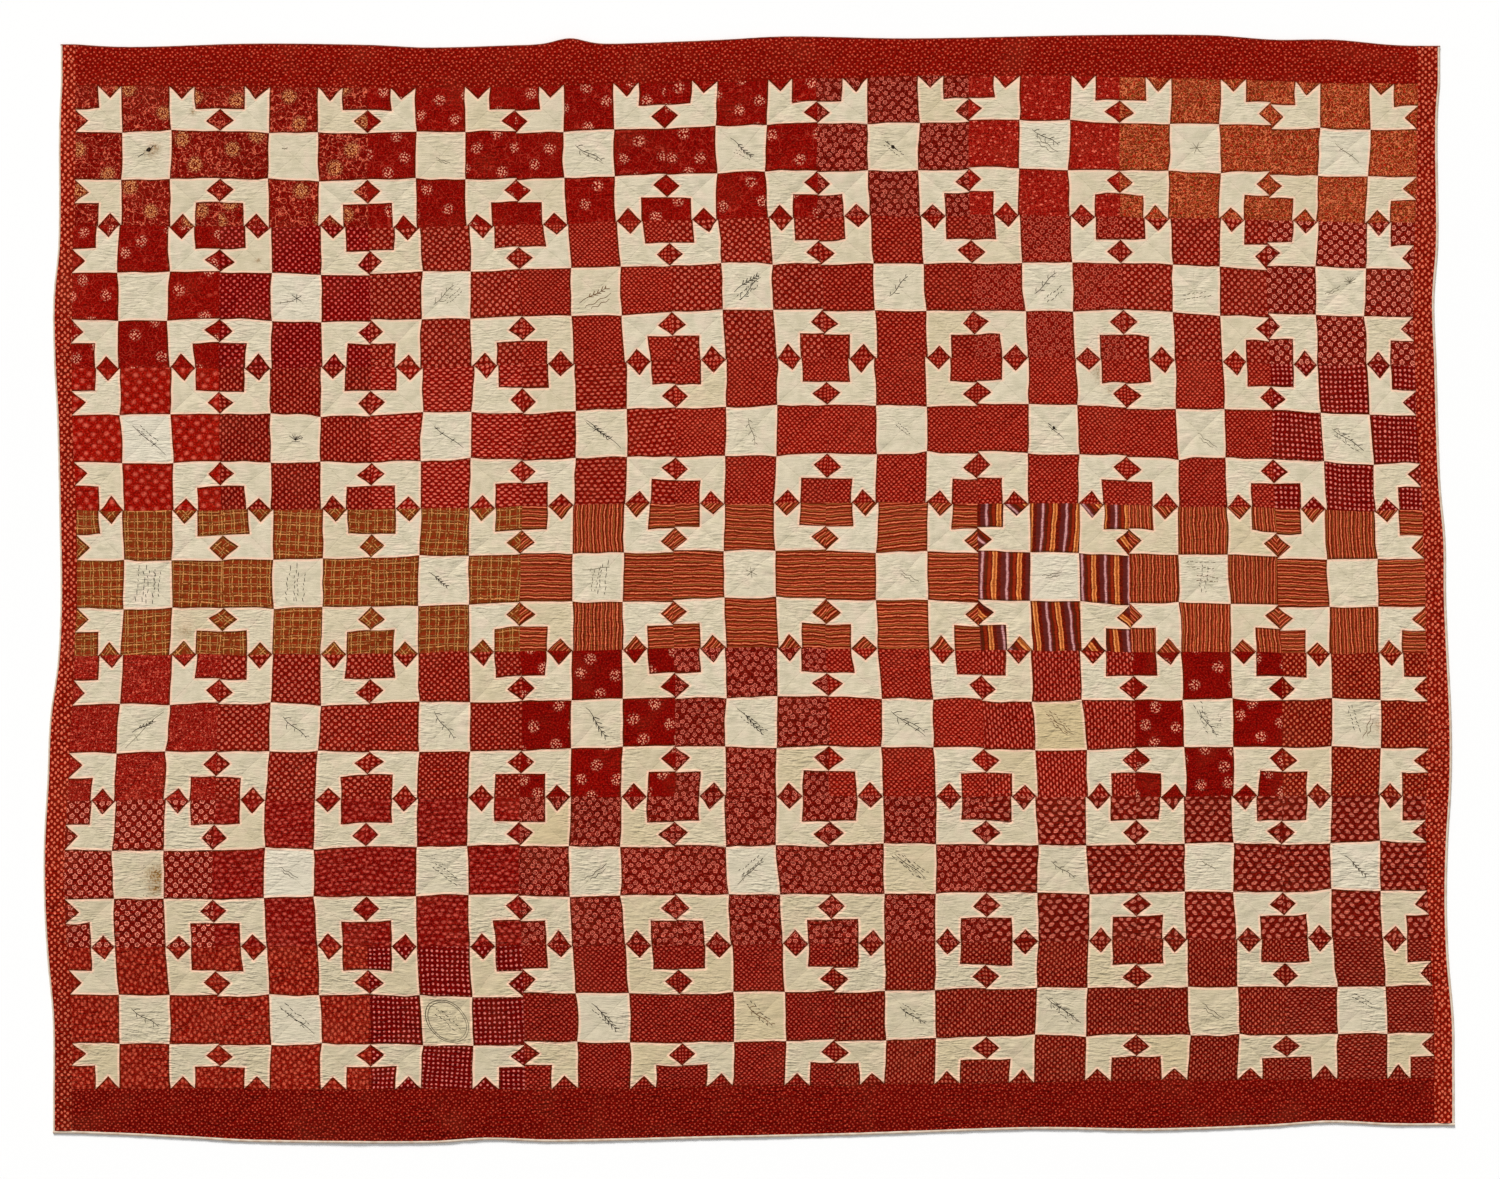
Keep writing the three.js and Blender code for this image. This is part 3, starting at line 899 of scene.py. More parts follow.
def rings(cloth, across, down, radius, band, petals, jitter=0.12):
    """Ring flowers, their rims scalloped by the petals."""
    x, y, own = nearest(cloth, across, down, jitter)
    scallop = (y.math("ARCTAN2", x) * petals + own * 9).math("COSINE") * (0.16 * radius)
    rim = (radius_of(x, y) + scallop).away_from(radius)
    return rim.smooth(band * 0.75, band * 0.3)


def leaves(cloth, across, down, wide, tall, jitter):
    """Veined leaves that lean both ways by turns."""
    x, y, own = nearest(cloth, across, down, jitter)
    lean = own.smooth(0.45, 0.55) * 0.9 - 0.45
    body = radius_of((x + y * lean) / wide, y / tall).smooth(1.2, 0.8)
    veins = (y * 2.4).wave().smooth(0.2, 0.6)
    return body * (veins * 0.5 + 0.5)


def bouquets(cloth, across, down, radius, speck, jitter):
    """Loose bunches of small specks."""
    x, y, _ = nearest(cloth, across, down, jitter)
    specks = dots(cloth, speck, 2 * speck, 0.42 * speck, 0.42 * speck, jitter=0.8)
    return radius_of(x, y).smooth(radius, 0.55 * radius) * specks


def vines(cloth, size, thickness):
    """Wandering lines, like fine stems or worm tracks."""
    level = cloudy(cloth.tree, cloth.map, 1 / size, detail=1.0)
    return level.away_from(0.5).smooth(thickness, 0.35 * thickness)


def stripes(cloth, repeat, along, at, wide):
    """Lines at a share of the repeat, counted along u or v. Those along v run level."""
    place = cloth.u if along == "u" else cloth.v
    sway = cloudy(cloth.tree, cloth.map, 0.04, detail=0.0) * (0.12 * wide)
    share = ((place + sway) / repeat - at).math("FRACT").away_from(0.5) * repeat
    return share.smooth(repeat / 2 - wide * 0.7, repeat / 2 - wide * 0.3)


def broken(cloth, mark, least):
    """A mark that the printing missed here and there, where no more than the least share of it shows."""
    taken = cloudy(cloth.tree, cloth.map, 0.45, detail=1.0).smooth(0.22, 0.45)
    return mark * (taken * (1 - least) + least)


def across_stripes(repeat, *rows):
    """Marks of level stripes in one repeat, from rows of tone, place and width."""
    return [(stripes, tone, repeat, "v", at, wide) for tone, at, wide in rows]


# The prints: the ground's tone, and then each mark over it, with its tone and its sizes in order:
# dots         across, down, half width, half height, jitter, softness
# square_dots  pitch, radius
# rings        across, down, radius, band, petals, jitter
# leaves       across, down, half width, half height, jitter
# bouquets     across, down, radius, speck, jitter
# vines        size, thickness
# stripes      repeat, the way they are counted, place as a share of the repeat, width
PRINTS = {
    "ring_floral": [
        (122, 16, 6),
        (vines, (214, 112, 80), 15, 0.024),
        (vines, (196, 86, 62), 9, 0.016),
        (dots, (226, 120, 92), 7.6, 15.6, 1.3, 1.2, 0.9),
        (dots, (108, 26, 8), 41, 78, 12, 11, 0.55),
        (rings, (178, 104, 52), 41, 78, 6.4, 3.2, 7, 0.55),
        (bouquets, (236, 176, 116), 41, 78, 15, 2.2, 0.55),
        (dots, (92, 24, 8), 2.3, 4.9, 0.7, 0.6, 0.9),
    ],
    "bouquets": [
        (131, 17, 8),
        (dots, (160, 46, 30), 3.8, 7.8, 0.8, 0.8, 0.6),
        (vines, (166, 54, 38), 16, 0.02),
        (bouquets, (246, 182, 144), 31, 62, 10.5, 2.5, 0.45),
    ],
    "dark_bouquets": [
        (122, 14, 6),
        (dots, (150, 38, 24), 3.8, 7.8, 0.8, 0.8, 0.6),
        (bouquets, (244, 178, 140), 27, 56, 10.5, 2.5, 0.45),
    ],
    "pink_lattice": [
        (104, 22, 8),
        (vines, (176, 80, 60), 9, 0.018),
        (rings, (222, 124, 100), 6.3, 15.4, 2.6, 1.0, 5, 0.4),
        (dots, (214, 118, 94), 6.3, 15.4, 0.9, 0.7, 0.35),
    ],
    "round_flowers": [
        (120, 22, 8),
        (rings, (204, 104, 80), 6.2, 12.2, 2.5, 1.1, 5, 0.25),
        (vines, (180, 78, 56), 9, 0.016),
    ],
    "bright_mottle": [
        (134, 17, 7),
        (vines, (186, 66, 46), 7, 0.04),
        (vines, (172, 52, 36), 4, 0.03),
        (dots, (224, 116, 90), 8, 17, 1.6, 1.3, 0.9),
    ],
    "vermicelli": [
        (124, 54, 18),
        (dots, (172, 30, 14), 6.4, 12.6, 1.9, 1.7, 0.9),
        (dots, (94, 72, 14), 5.6, 11.2, 1.5, 1.3, 0.9),
        (vines, (218, 130, 82), 6.4, 0.055),
        (vines, (184, 92, 50), 4.2, 0.035),
    ],
    "red_mottle": [
        (130, 18, 8),
        (vines, (190, 82, 60), 7, 0.035),
        (vines, (172, 62, 44), 4, 0.03),
        (dots, (216, 110, 86), 7, 14, 1.2, 1.0, 0.9),
    ],
    "dark_pin_dots": [(114, 10, 5), (dots, (210, 98, 86), 5.1, 10.0, 1.7, 1.7)],
    "orange_dots": [
        (122, 26, 9), (dots, (214, 118, 92), 5.4, 10.8, 2.1, 2.1), (dots, (150, 48, 30), 5.4, 10.8, 0.6, 0.6),
    ],
    "small_orange_dots": [(118, 22, 5), (dots, (208, 106, 82), 4.6, 9.2, 1.7, 1.7)],
    "gold_dots": [(114, 22, 4), (dots, (206, 112, 76), 4.7, 9.4, 1.7, 1.9)],
    "fine_lattice": [(124, 22, 6), (dots, (204, 92, 68), 3.8, 7.4, 1.7, 1.4, 0.1)],
    "coarse_lattice": [(120, 20, 5), (dots, (200, 92, 68), 4.4, 8.6, 1.9, 1.6)],
    "dark_lattice": [(106, 14, 4), (dots, (184, 82, 62), 3.8, 7.4, 1.6, 1.4)],
    "ring_flowers": [
        (110, 22, 8),
        (rings, (240, 152, 124), 7.9, 15.8, 2.9, 1.35, 5),
        (dots, (226, 138, 112), 7.9, 15.8, 0.9, 0.9),
        (vines, (160, 62, 44), 9, 0.016),
    ],
    "soft_blobs": [
        (148, 26, 10),
        (dots, (208, 98, 76), 10.2, 20.4, 3.1, 2.8, 0.3, 0.85),
        (dots, (176, 56, 38), 4.2, 8.4, 0.9, 0.8, 0.7),
    ],
    "tall_dots": [(114, 18, 4), (dots, (202, 102, 78), 4.9, 9.7, 1.6, 2.1)],
    "dashes": [(132, 22, 8), (dots, (222, 116, 92), 5.6, 9.4, 2.8, 1.5)],
    "long_dots": [(122, 20, 3), (dots, (204, 104, 80), 5.0, 12.2, 2.8, 1.7)],
    "square_dots": [(112, 14, 5), (square_dots, (228, 136, 118), 7.3, 1.7)],
    "dark_square_dots": [(104, 10, 4), (square_dots, (220, 130, 116), 7.2, 1.6)],
    "plaid": [
        (132, 76, 28),
        (stripes, (106, 64, 18), 14.4, "u", 0.5, 6.2),
        (stripes, (110, 62, 18), 14.4, "v", 0.5, 6.2),
        (stripes, (142, 46, 18), 14.4, "v", 0.98, 2.6),
        (stripes, (136, 52, 20), 14.4, "u", 0.02, 2.2),
        (stripes, (206, 158, 88), 14.4, "u", 0.5, 1.3),
        (stripes, (212, 154, 90), 14.4, "v", 0.5, 1.3),
        (stripes, (168, 138, 74), 14.4, "u", 0.2, 1.0),
        (stripes, (172, 132, 74), 14.4, "v", 0.78, 1.0),
        (vines, (128, 56, 20), 10, 0.05),
    ],
    "pinstripes": [
        (134, 46, 14),
        *across_stripes(
            17.6,
            ((108, 28, 8), 0.2, 2.2), ((114, 32, 10), 0.58, 2.2), ((102, 26, 8), 0.92, 2.0),
            ((230, 138, 92), 0.07, 1.5), ((152, 104, 50), 0.31, 1.3), ((220, 126, 82), 0.46, 1.3),
            ((208, 112, 72), 0.71, 1.2), ((130, 82, 36), 0.83, 1.2),
        ),
    ],
    "bold_stripes": [
        (104, 36, 14),
        *across_stripes(
            36,
            ((142, 44, 18), 0.3, 3.6), ((92, 38, 32), 0.74, 7.0), ((84, 36, 16), 0.42, 3.0),
            ((112, 62, 60), 0.59, 5.8), ((204, 162, 156), 0.59, 3.0), ((168, 92, 36), 0.09, 6.4),
            ((236, 166, 92), 0.16, 2.0), ((232, 150, 80), 0.02, 1.8),
        ),
    ],
    "upright_dashes": [(120, 22, 6), (dots, (214, 108, 84), 4.9, 9.7, 1.3, 2.8)],
    "soft_dashes": [
        (118, 15, 6), (dots, (196, 88, 72), 5.3, 15.2, 2.6, 1.7, 0.4, 0.7), (vines, (164, 56, 42), 7, 0.025),
    ],
    "leaf_lattice": [(106, 26, 11), (leaves, (206, 120, 96), 7.3, 17.0, 3.7, 3.3, 0.2)],
    "broken_dashes": [
        (122, 26, 10), (dots, (198, 92, 66), 5.6, 12.2, 1.9, 2.4, 0.45, 0.6), (vines, (172, 70, 46), 7, 0.02),
    ],
    "rust_dots": [(104, 18, 4), (dots, (184, 96, 70), 4.4, 8.8, 1.5, 2.1)],
    "small_rust_dots": [(104, 19, 5), (dots, (184, 98, 74), 4.4, 8.0, 2.1, 1.3)],
    "top_border": [(126, 20, 6), (dots, (198, 88, 62), 4.3, 9.0, 1.4, 1.2, 0.5)],
    "bottom_border": [(104, 15, 6), (dots, (178, 72, 50), 4.0, 8.0, 1.3, 1.2, 0.45)],
    "side_border": [(126, 28, 7), (dots, (224, 122, 88), 5.0, 9.8, 1.8, 2.1, 0.35)],
}

# Which print each block has, from the top row down.
PRINT_ROWS = (
    "ring_floral ring_floral bouquets bouquets bouquets pink_lattice bright_mottle vermicelli vermicelli",
    "bouquets dark_pin_dots orange_dots fine_lattice orange_dots coarse_lattice round_flowers orange_dots"
    " ring_flowers",
    "soft_blobs tall_dots dashes long_dots fine_lattice fine_lattice fine_lattice fine_lattice square_dots",
    "plaid plaid plaid pinstripes pinstripes pinstripes bold_stripes pinstripes pinstripes",
    "red_mottle orange_dots small_orange_dots dark_bouquets pink_lattice fine_lattice upright_dashes"
    " dark_bouquets gold_dots",
    "ring_flowers soft_dashes soft_dashes pink_lattice pink_lattice pink_lattice leaf_lattice leaf_lattice"
    " leaf_lattice",
    "broken_dashes broken_dashes dark_square_dots dark_lattice dark_lattice rust_dots rust_dots rust_dots"
    " small_rust_dots",
)

PATCH_DIAGONAL_STEP = PATCH_WIDTH * PATCH_HEIGHT / math.hypot(PATCH_WIDTH, PATCH_HEIGHT)
STITCH = 3.4  # one stitch and the gap after it
STITCH_DEPTH = 0.2
WEAVE = 0.46  # a thread and the gap beside it
WEAVE_HEIGHT = 0.018
SLUB_HEIGHT = 0.06
LEVEL_WRINKLE = 2.3
CROSS_WRINKLE = 1.1


def woven(x, y):
    """How high the threads lie, from -1 to 1."""
    turns = 2 * math.pi * METRE / WEAVE
    return (x * turns).math("SINE") * (y * turns).math("SINE")


def make_finish_group():
    """What all the quilted cottons share: height in millimetres of their weave, stitches and finest
    wrinkles, and where the lines are stitched."""
    tree = bpy.data.node_groups.new("quilted_finish", "ShaderNodeTree")
    for name in ("Height", "Stitched"):
        tree.interface.new_socket(name=name, in_out="OUTPUT", socket_type="NodeSocketFloat")
    place = object_place(tree)
    across, up, own_line = named(tree, "lines")
    rising, falling = across - up, across + up
    stitched = None
    for line, way in ((rising, falling), (falling, rising)):
        off = (line + 0.5).math("FRACT").away_from(0.5) * PATCH_DIAGONAL_STEP
        along = (way * (PATCH_DIAGONAL_STEP * math.pi / STITCH)).wave()
        mark = off.smooth(1.5, 0.2) * (along * 0.75 + 0.25)
        stitched = mark if stitched is None else stitched.math("MAXIMUM", mark)
    level = (across * (PATCH_WIDTH * 2 * math.pi / STITCH)).wave()
    stitched = stitched.math("MAXIMUM", own_line.smooth(1.5, 0.2) * (level * 0.75 + 0.25))

    x, y, _ = split(tree, place)
    weave = woven(x, y)
    slubs = cloudy(tree, join(tree, x * 160, y * 900), 1.0, detail=1.0)
    level_wrinkles = cloudy(tree, join(tree, x * 38, y * 150), 1.0, detail=2.0).away_from(0.5)
    cross_wrinkles = cloudy(tree, join(tree, x * 120, y * 55), 1.0, detail=1.0).away_from(0.5)
    gathered = cloudy(tree, place, 11.0, detail=1.0).smooth(0.3, 0.7) * 0.75 + 0.25
    lower = (y * -1.0).smooth(-0.15, 0.6)
    wrinkles = level_wrinkles * LEVEL_WRINKLE + cross_wrinkles * CROSS_WRINKLE
    height = weave * WEAVE_HEIGHT + slubs * SLUB_HEIGHT + wrinkles * gathered * (lower * 0.9 + 1.0)
    height = height - stitched * STITCH_DEPTH
    ends = add_node(tree, "NodeGroupOutput")
    feed(tree, ends.inputs["Height"], height)
    feed(tree, ends.inputs["Stitched"], stitched)
    return tree


FINISH = make_finish_group()


def quilted_finish(tree):
    """How much of a point is stitched, and its height."""
    finish = add_node(tree, "ShaderNodeGroup", node_tree=FINISH)
    return Value(tree, finish.outputs["Stitched"]), finish.outputs["Height"]


COTTON = {"Roughness": 0.9, "Specular IOR Level": 0.01, "Sheen Weight": 0.01, "Sheen Roughness": 0.5}


def new_material(name):
    material = bpy.data.materials.new(name)
    material.use_nodes = True
    material.node_tree.nodes.clear()
    return material, material.node_tree


def finish_material(material, colour, height=None, settings=COTTON):
    """Ends a material: its colour, the height in millimetres of its bumps, and its shine."""
    tree = material.node_tree
    shader = add_node(tree, "ShaderNodeBsdfPrincipled", settings)
    feed(tree, shader.inputs["Base Color"], colour)
    if height is not None:
        bump = add_node(tree, "ShaderNodeBump", {"Strength": 1.0, "Distance": 1 / METRE, "Height": height})
        feed(tree, shader.inputs["Normal"], bump.outputs["Normal"])
    out = add_node(tree, "ShaderNodeOutputMaterial")
    tree.links.new(shader.outputs[0], out.inputs["Surface"])
    return material


# How the dyes take: marks come out a little redder than their tones, and the ground much deeper.
MARK_GAIN = (1.03, 0.93, 0.95)
GROUND_GAIN = (0.98, 0.55, 0.5)
MISSED_IN_STRIPES = 0.35  # the least of a stripe that shows where the printing missed some of it
WORN_PRINT = (204, 116, 74)
# Painted shade along a print's seams, and faintly along the block's sides.
PAINTED_SEAM_SHADE = (56, 32, 5)
# Painted shade in a print's stitched lines.
STITCH_SHADE_ON_PRINT = (92, 12, 4)


def printed(tone, gain):
    return tuple(min(channel * share, 255) for channel, share in zip(tone, gain))


def print_cotton(name):
    """A printed cotton: ground, marks, wear, painted shade along its seams and stitched lines, and stitches.
    """
    ground, *marks = PRINTS[name]
    material, tree = new_material(name)
    cloth = Cloth(tree)
    seam, to_side, _ = named(tree, "seams")
    tone, _, _ = named(tree, "patch")
    stitched, height = quilted_finish(tree)
    ground = printed(ground, GROUND_GAIN)
    deep = tuple(channel * 0.8 for channel in ground)
    bright = tuple(channel * 1.16 + 4 for channel in ground)
    mottle = cloudy(tree, cloth.map, 0.33, detail=3.0).smooth(0.3, 0.7)
    colour = blend(tree, mottle, deep, bright)
    for mark, mark_tone, *sizes in marks:
        share = broken(cloth, mark(cloth, *sizes), MISSED_IN_STRIPES if mark is stripes else 0.0)
        colour = blend(tree, share, colour, printed(mark_tone, MARK_GAIN))
    worn = cloudy(tree, object_place(tree), 14.0, detail=3.0).smooth(0.5, 0.8)
    # Painted shade: darker towards the seams, and faintly towards the block's sides.
    rim = seam.smooth(3.8, 0.8).math("MAXIMUM", to_side.smooth(1.2, 0.2) * 0.1)
    colour = layered(
        tree,
        colour,
        (worn * 0.035, WORN_PRINT),
        (rim * 0.66, PAINTED_SEAM_SHADE),
        # Painted shade along the stitched lines.
        (stitched * 0.22, STITCH_SHADE_ON_PRINT),
    )
    toned = add_node(tree, "ShaderNodeHueSaturation", {"Color": colour, "Value": tone * 0.09 + 1.0})
    return finish_material(material, toned.outputs["Color"], height)


CREAM = (221, 208, 181)
GREY_CREAM = (208, 197, 169)
PINK_CREAM = (230, 207, 185)
# Painted shade that darkens the white cloth towards the quilt's bottom.
PAINTED_LOWER_SHADE = (184, 168, 134)
YELLOWED = (198, 172, 120)
BLEACHED = (226, 218, 200)
BROWN_STAIN = (142, 100, 50)
# Painted shade in the white cloth's stitched lines.
STITCH_SHADE_ON_CREAM = (150, 132, 98)
WARM_RIM = (254, 204, 176)
SEAM_LINE = (168, 104, 78)


def white_cotton():
    """The plain cotton of the signature squares and their L shapes, yellowed and stained, with painted shade
    towards the bottom and along its stitched lines.
    """
    material, tree = new_material("white_cotton")
    seam, _, stain = named(tree, "seams")
    _, yellow, _ = named(tree, "patch")
    stitched, height = quilted_finish(tree)
    place = object_place(tree)
    _, y, _ = split(tree, place)
    specks = cloudy(tree, place, 300.0, detail=3.0).smooth(0.42, 0.62)
    colour = layered(
        tree,
        blend(tree, cloudy(tree, place, 60.0, detail=3.0).smooth(0.35, 0.7), CREAM, GREY_CREAM),
        (cloudy(tree, place, 33.0).smooth(0.5, 0.75) * 0.5, PINK_CREAM),
        # Painted shade, darker towards the quilt's bottom.
        ((y * -1.0).smooth(0.0, 0.7) * 0.42, PAINTED_LOWER_SHADE),
        (yellow.smooth(0.0, 1.2), YELLOWED),
        (yellow.smooth(0.0, -0.8) * 0.6, BLEACHED),
        (stain * (specks * 0.6 + 0.4), BROWN_STAIN),
        # Painted shade along the stitched lines.
        (stitched * 0.14, STITCH_SHADE_ON_CREAM),
        (seam.smooth(4.4, 1.4) * (specks * 0.35 + 0.6), WARM_RIM),
        (seam.smooth(0.7, 0.1) * 0.3, SEAM_LINE),
    )
    return finish_material(material, colour, height)


def plain_cotton(name, light, dark):
    """Unprinted cotton: a fine weave, with soft dirt."""
    material, tree = new_material(name)
    place = object_place(tree)
    x, y, _ = split(tree, place)
    dirt = cloudy(tree, place, 90.0, detail=4.0).smooth(0.3, 0.75)
    colour = blend(tree, dirt, light, dark)
    height = woven(x, y) * 0.02 + cloudy(tree, place, 400.0, detail=2.0) * 0.12
    return finish_material(material, colour, height)


# Ink. A signed square holds small pen drawings that form no letters: a sprig, an ear of grass, a tuft,
# ripples, rows of strokes, a star, dots or a blot, of the size and slant that writing would have. A
# stroke is its points in millimetres and its width.

def stroke(points, width=0.62):
    return np.asarray(points, float), width


def ways(*degrees):
    """Unit steps at angles from the drawing's level."""
    return [np.array([math.cos(angle), math.sin(angle)]) for angle in np.radians(degrees)]


def arc_stem(length, rise):
    along = np.linspace(-0.5, 0.5, 15)
    return np.stack([along * length, rise * np.sin(along * 5.0)], 1)


def sprig(length, rng):
    """A bent stem with slim leaves by turns on both its sides."""
    stem = arc_stem(length, 0.05 * length)
    strokes = [stroke(stem)]
    for n in range(1, 14, 2):
        root = stem[n]
        side = 1 if n % 4 == 1 else -1
        reach = 0.17 * length * rng.uniform(0.7, 1.25) * (1 - 0.03 * n)
        tip = root + reach * np.array([0.75, side * 0.85])
        middle = (root + tip) / 2 + reach * np.array([-0.06, side * 0.12])
        strokes.append(stroke([root, middle, tip], 0.56))
    return strokes


def grass_ear(length, rng):
    """A stem with close pairs of grains along half of it."""
    stem = arc_stem(length, -0.04 * length)
    strokes = [stroke(stem, 0.6)]
    for n in range(5, 15, 2):
        root = stem[n]
        for side in (-1, 1):
            reach = 0.13 * length * rng.uniform(0.8, 1.3)
            tip = root + reach * np.array([0.9, side * 0.55])
            strokes.append(stroke([root, tip], 0.78))
    return strokes


def tuft(length, rng):
    """Blades of grass that spread from one root."""
    strokes = []
    for way in ways(25, 48, 70, 92, 115, 140):
        reach = 0.5 * length * rng.uniform(0.7, 1.1)
        bend = np.array([way[0] * 0.4, -0.12]) * reach * 0.4
        strokes.append(stroke([[0, 0], way * reach * 0.55, way * reach + bend], 0.6))
    strokes.append(stroke([[-0.3 * length, -1.0], [0.35 * length, -1.6]], 0.5))
    return strokes


def ripples(length, rng):
    """Two low waves, one under the other, that die away."""
    along = np.linspace(0, 1, 26)
    strokes = []
    for drop, share in ((0.0, 1.0), (-0.13, 0.7)):
        wave = 0.045 * length * np.sin(along * 4.5 * math.pi + drop) * (1 - 0.7 * along)
        strokes.append(stroke(np.stack([(along - 0.5) * length * share, wave + drop * length], 1), 0.55))
    return strokes


def rows(length, rng):
    """Rows of short uneven strokes along the slant."""
    strokes = []
    for drop in (0.12, -0.06):
        place = -0.5 * length
        while place < 0.45 * length:
            dash = rng.uniform(0.05, 0.16) * length
            rise = rng.uniform(-0.02, 0.05) * length
            lift = drop * length + rng.uniform(-0.03, 0.03) * length
            strokes.append(stroke([[place, lift], [place + dash, lift + rise]], 0.66))
            place += dash + rng.uniform(0.03, 0.08) * length
    return strokes


def long_line(length, rng):
    """One long bent line with two ticks across it."""
    stem = arc_stem(length, 0.03 * length)
    strokes = [stroke(stem, 0.55)]
    for n in (4, 9):
        reach = 0.07 * length
        tick = np.array([0.3 * reach, reach])
        strokes.append(stroke([stem[n] - tick, stem[n] + tick], 0.55))
    return strokes


def star(length, rng):
    """Short rays round a middle."""
    rays = [0.5 * length * way * rng.uniform(0.7, 1.1) for way in ways(8, 68, 128)]
    return [stroke([-ray, ray], 0.55) for ray in rays]


def specks(length, rng):
    """Scattered dots along the slant."""
    strokes = []
    for _ in range(16):
        place = np.array([rng.uniform(-0.5, 0.5), rng.uniform(-0.14, 0.14)]) * length
        strokes.append(stroke([place, place + rng.uniform(-0.7, 0.7, 2)], rng.uniform(0.7, 1.5)))
    return strokes


def blot(length, rng):
    """A dark blot with two short strokes out of it."""
    turns = np.linspace(0, 5 * math.pi, 26)
    coil = np.stack([np.cos(turns), 0.7 * np.sin(turns)], 1) * (0.32 * length * turns / turns[-1])[:, None]
    right = stroke([[0.3 * length, 0], [0.8 * length, 0.12 * length]], 0.8)
    left = stroke([[-1.5 * length, -0.1 * length], [-0.6 * length, -0.05 * length]], 0.8)
    return [stroke(coil, 1.3), right, left]


def oval(length, rng):
    """An oval frame of two lines with a row of strokes in it."""
    turns = np.linspace(0, 2 * math.pi, 41)
    ring = np.stack([0.5 * np.cos(turns), 0.38 * np.sin(turns)], 1) * length
    return [stroke(ring * share, 0.6) for share in (1.0, 0.9)] + rows(0.6 * length, rng)


DARK, MEDIUM, BROWN, FAINT = "ink_dark", "ink_medium", "ink_brown", "ink_faint"
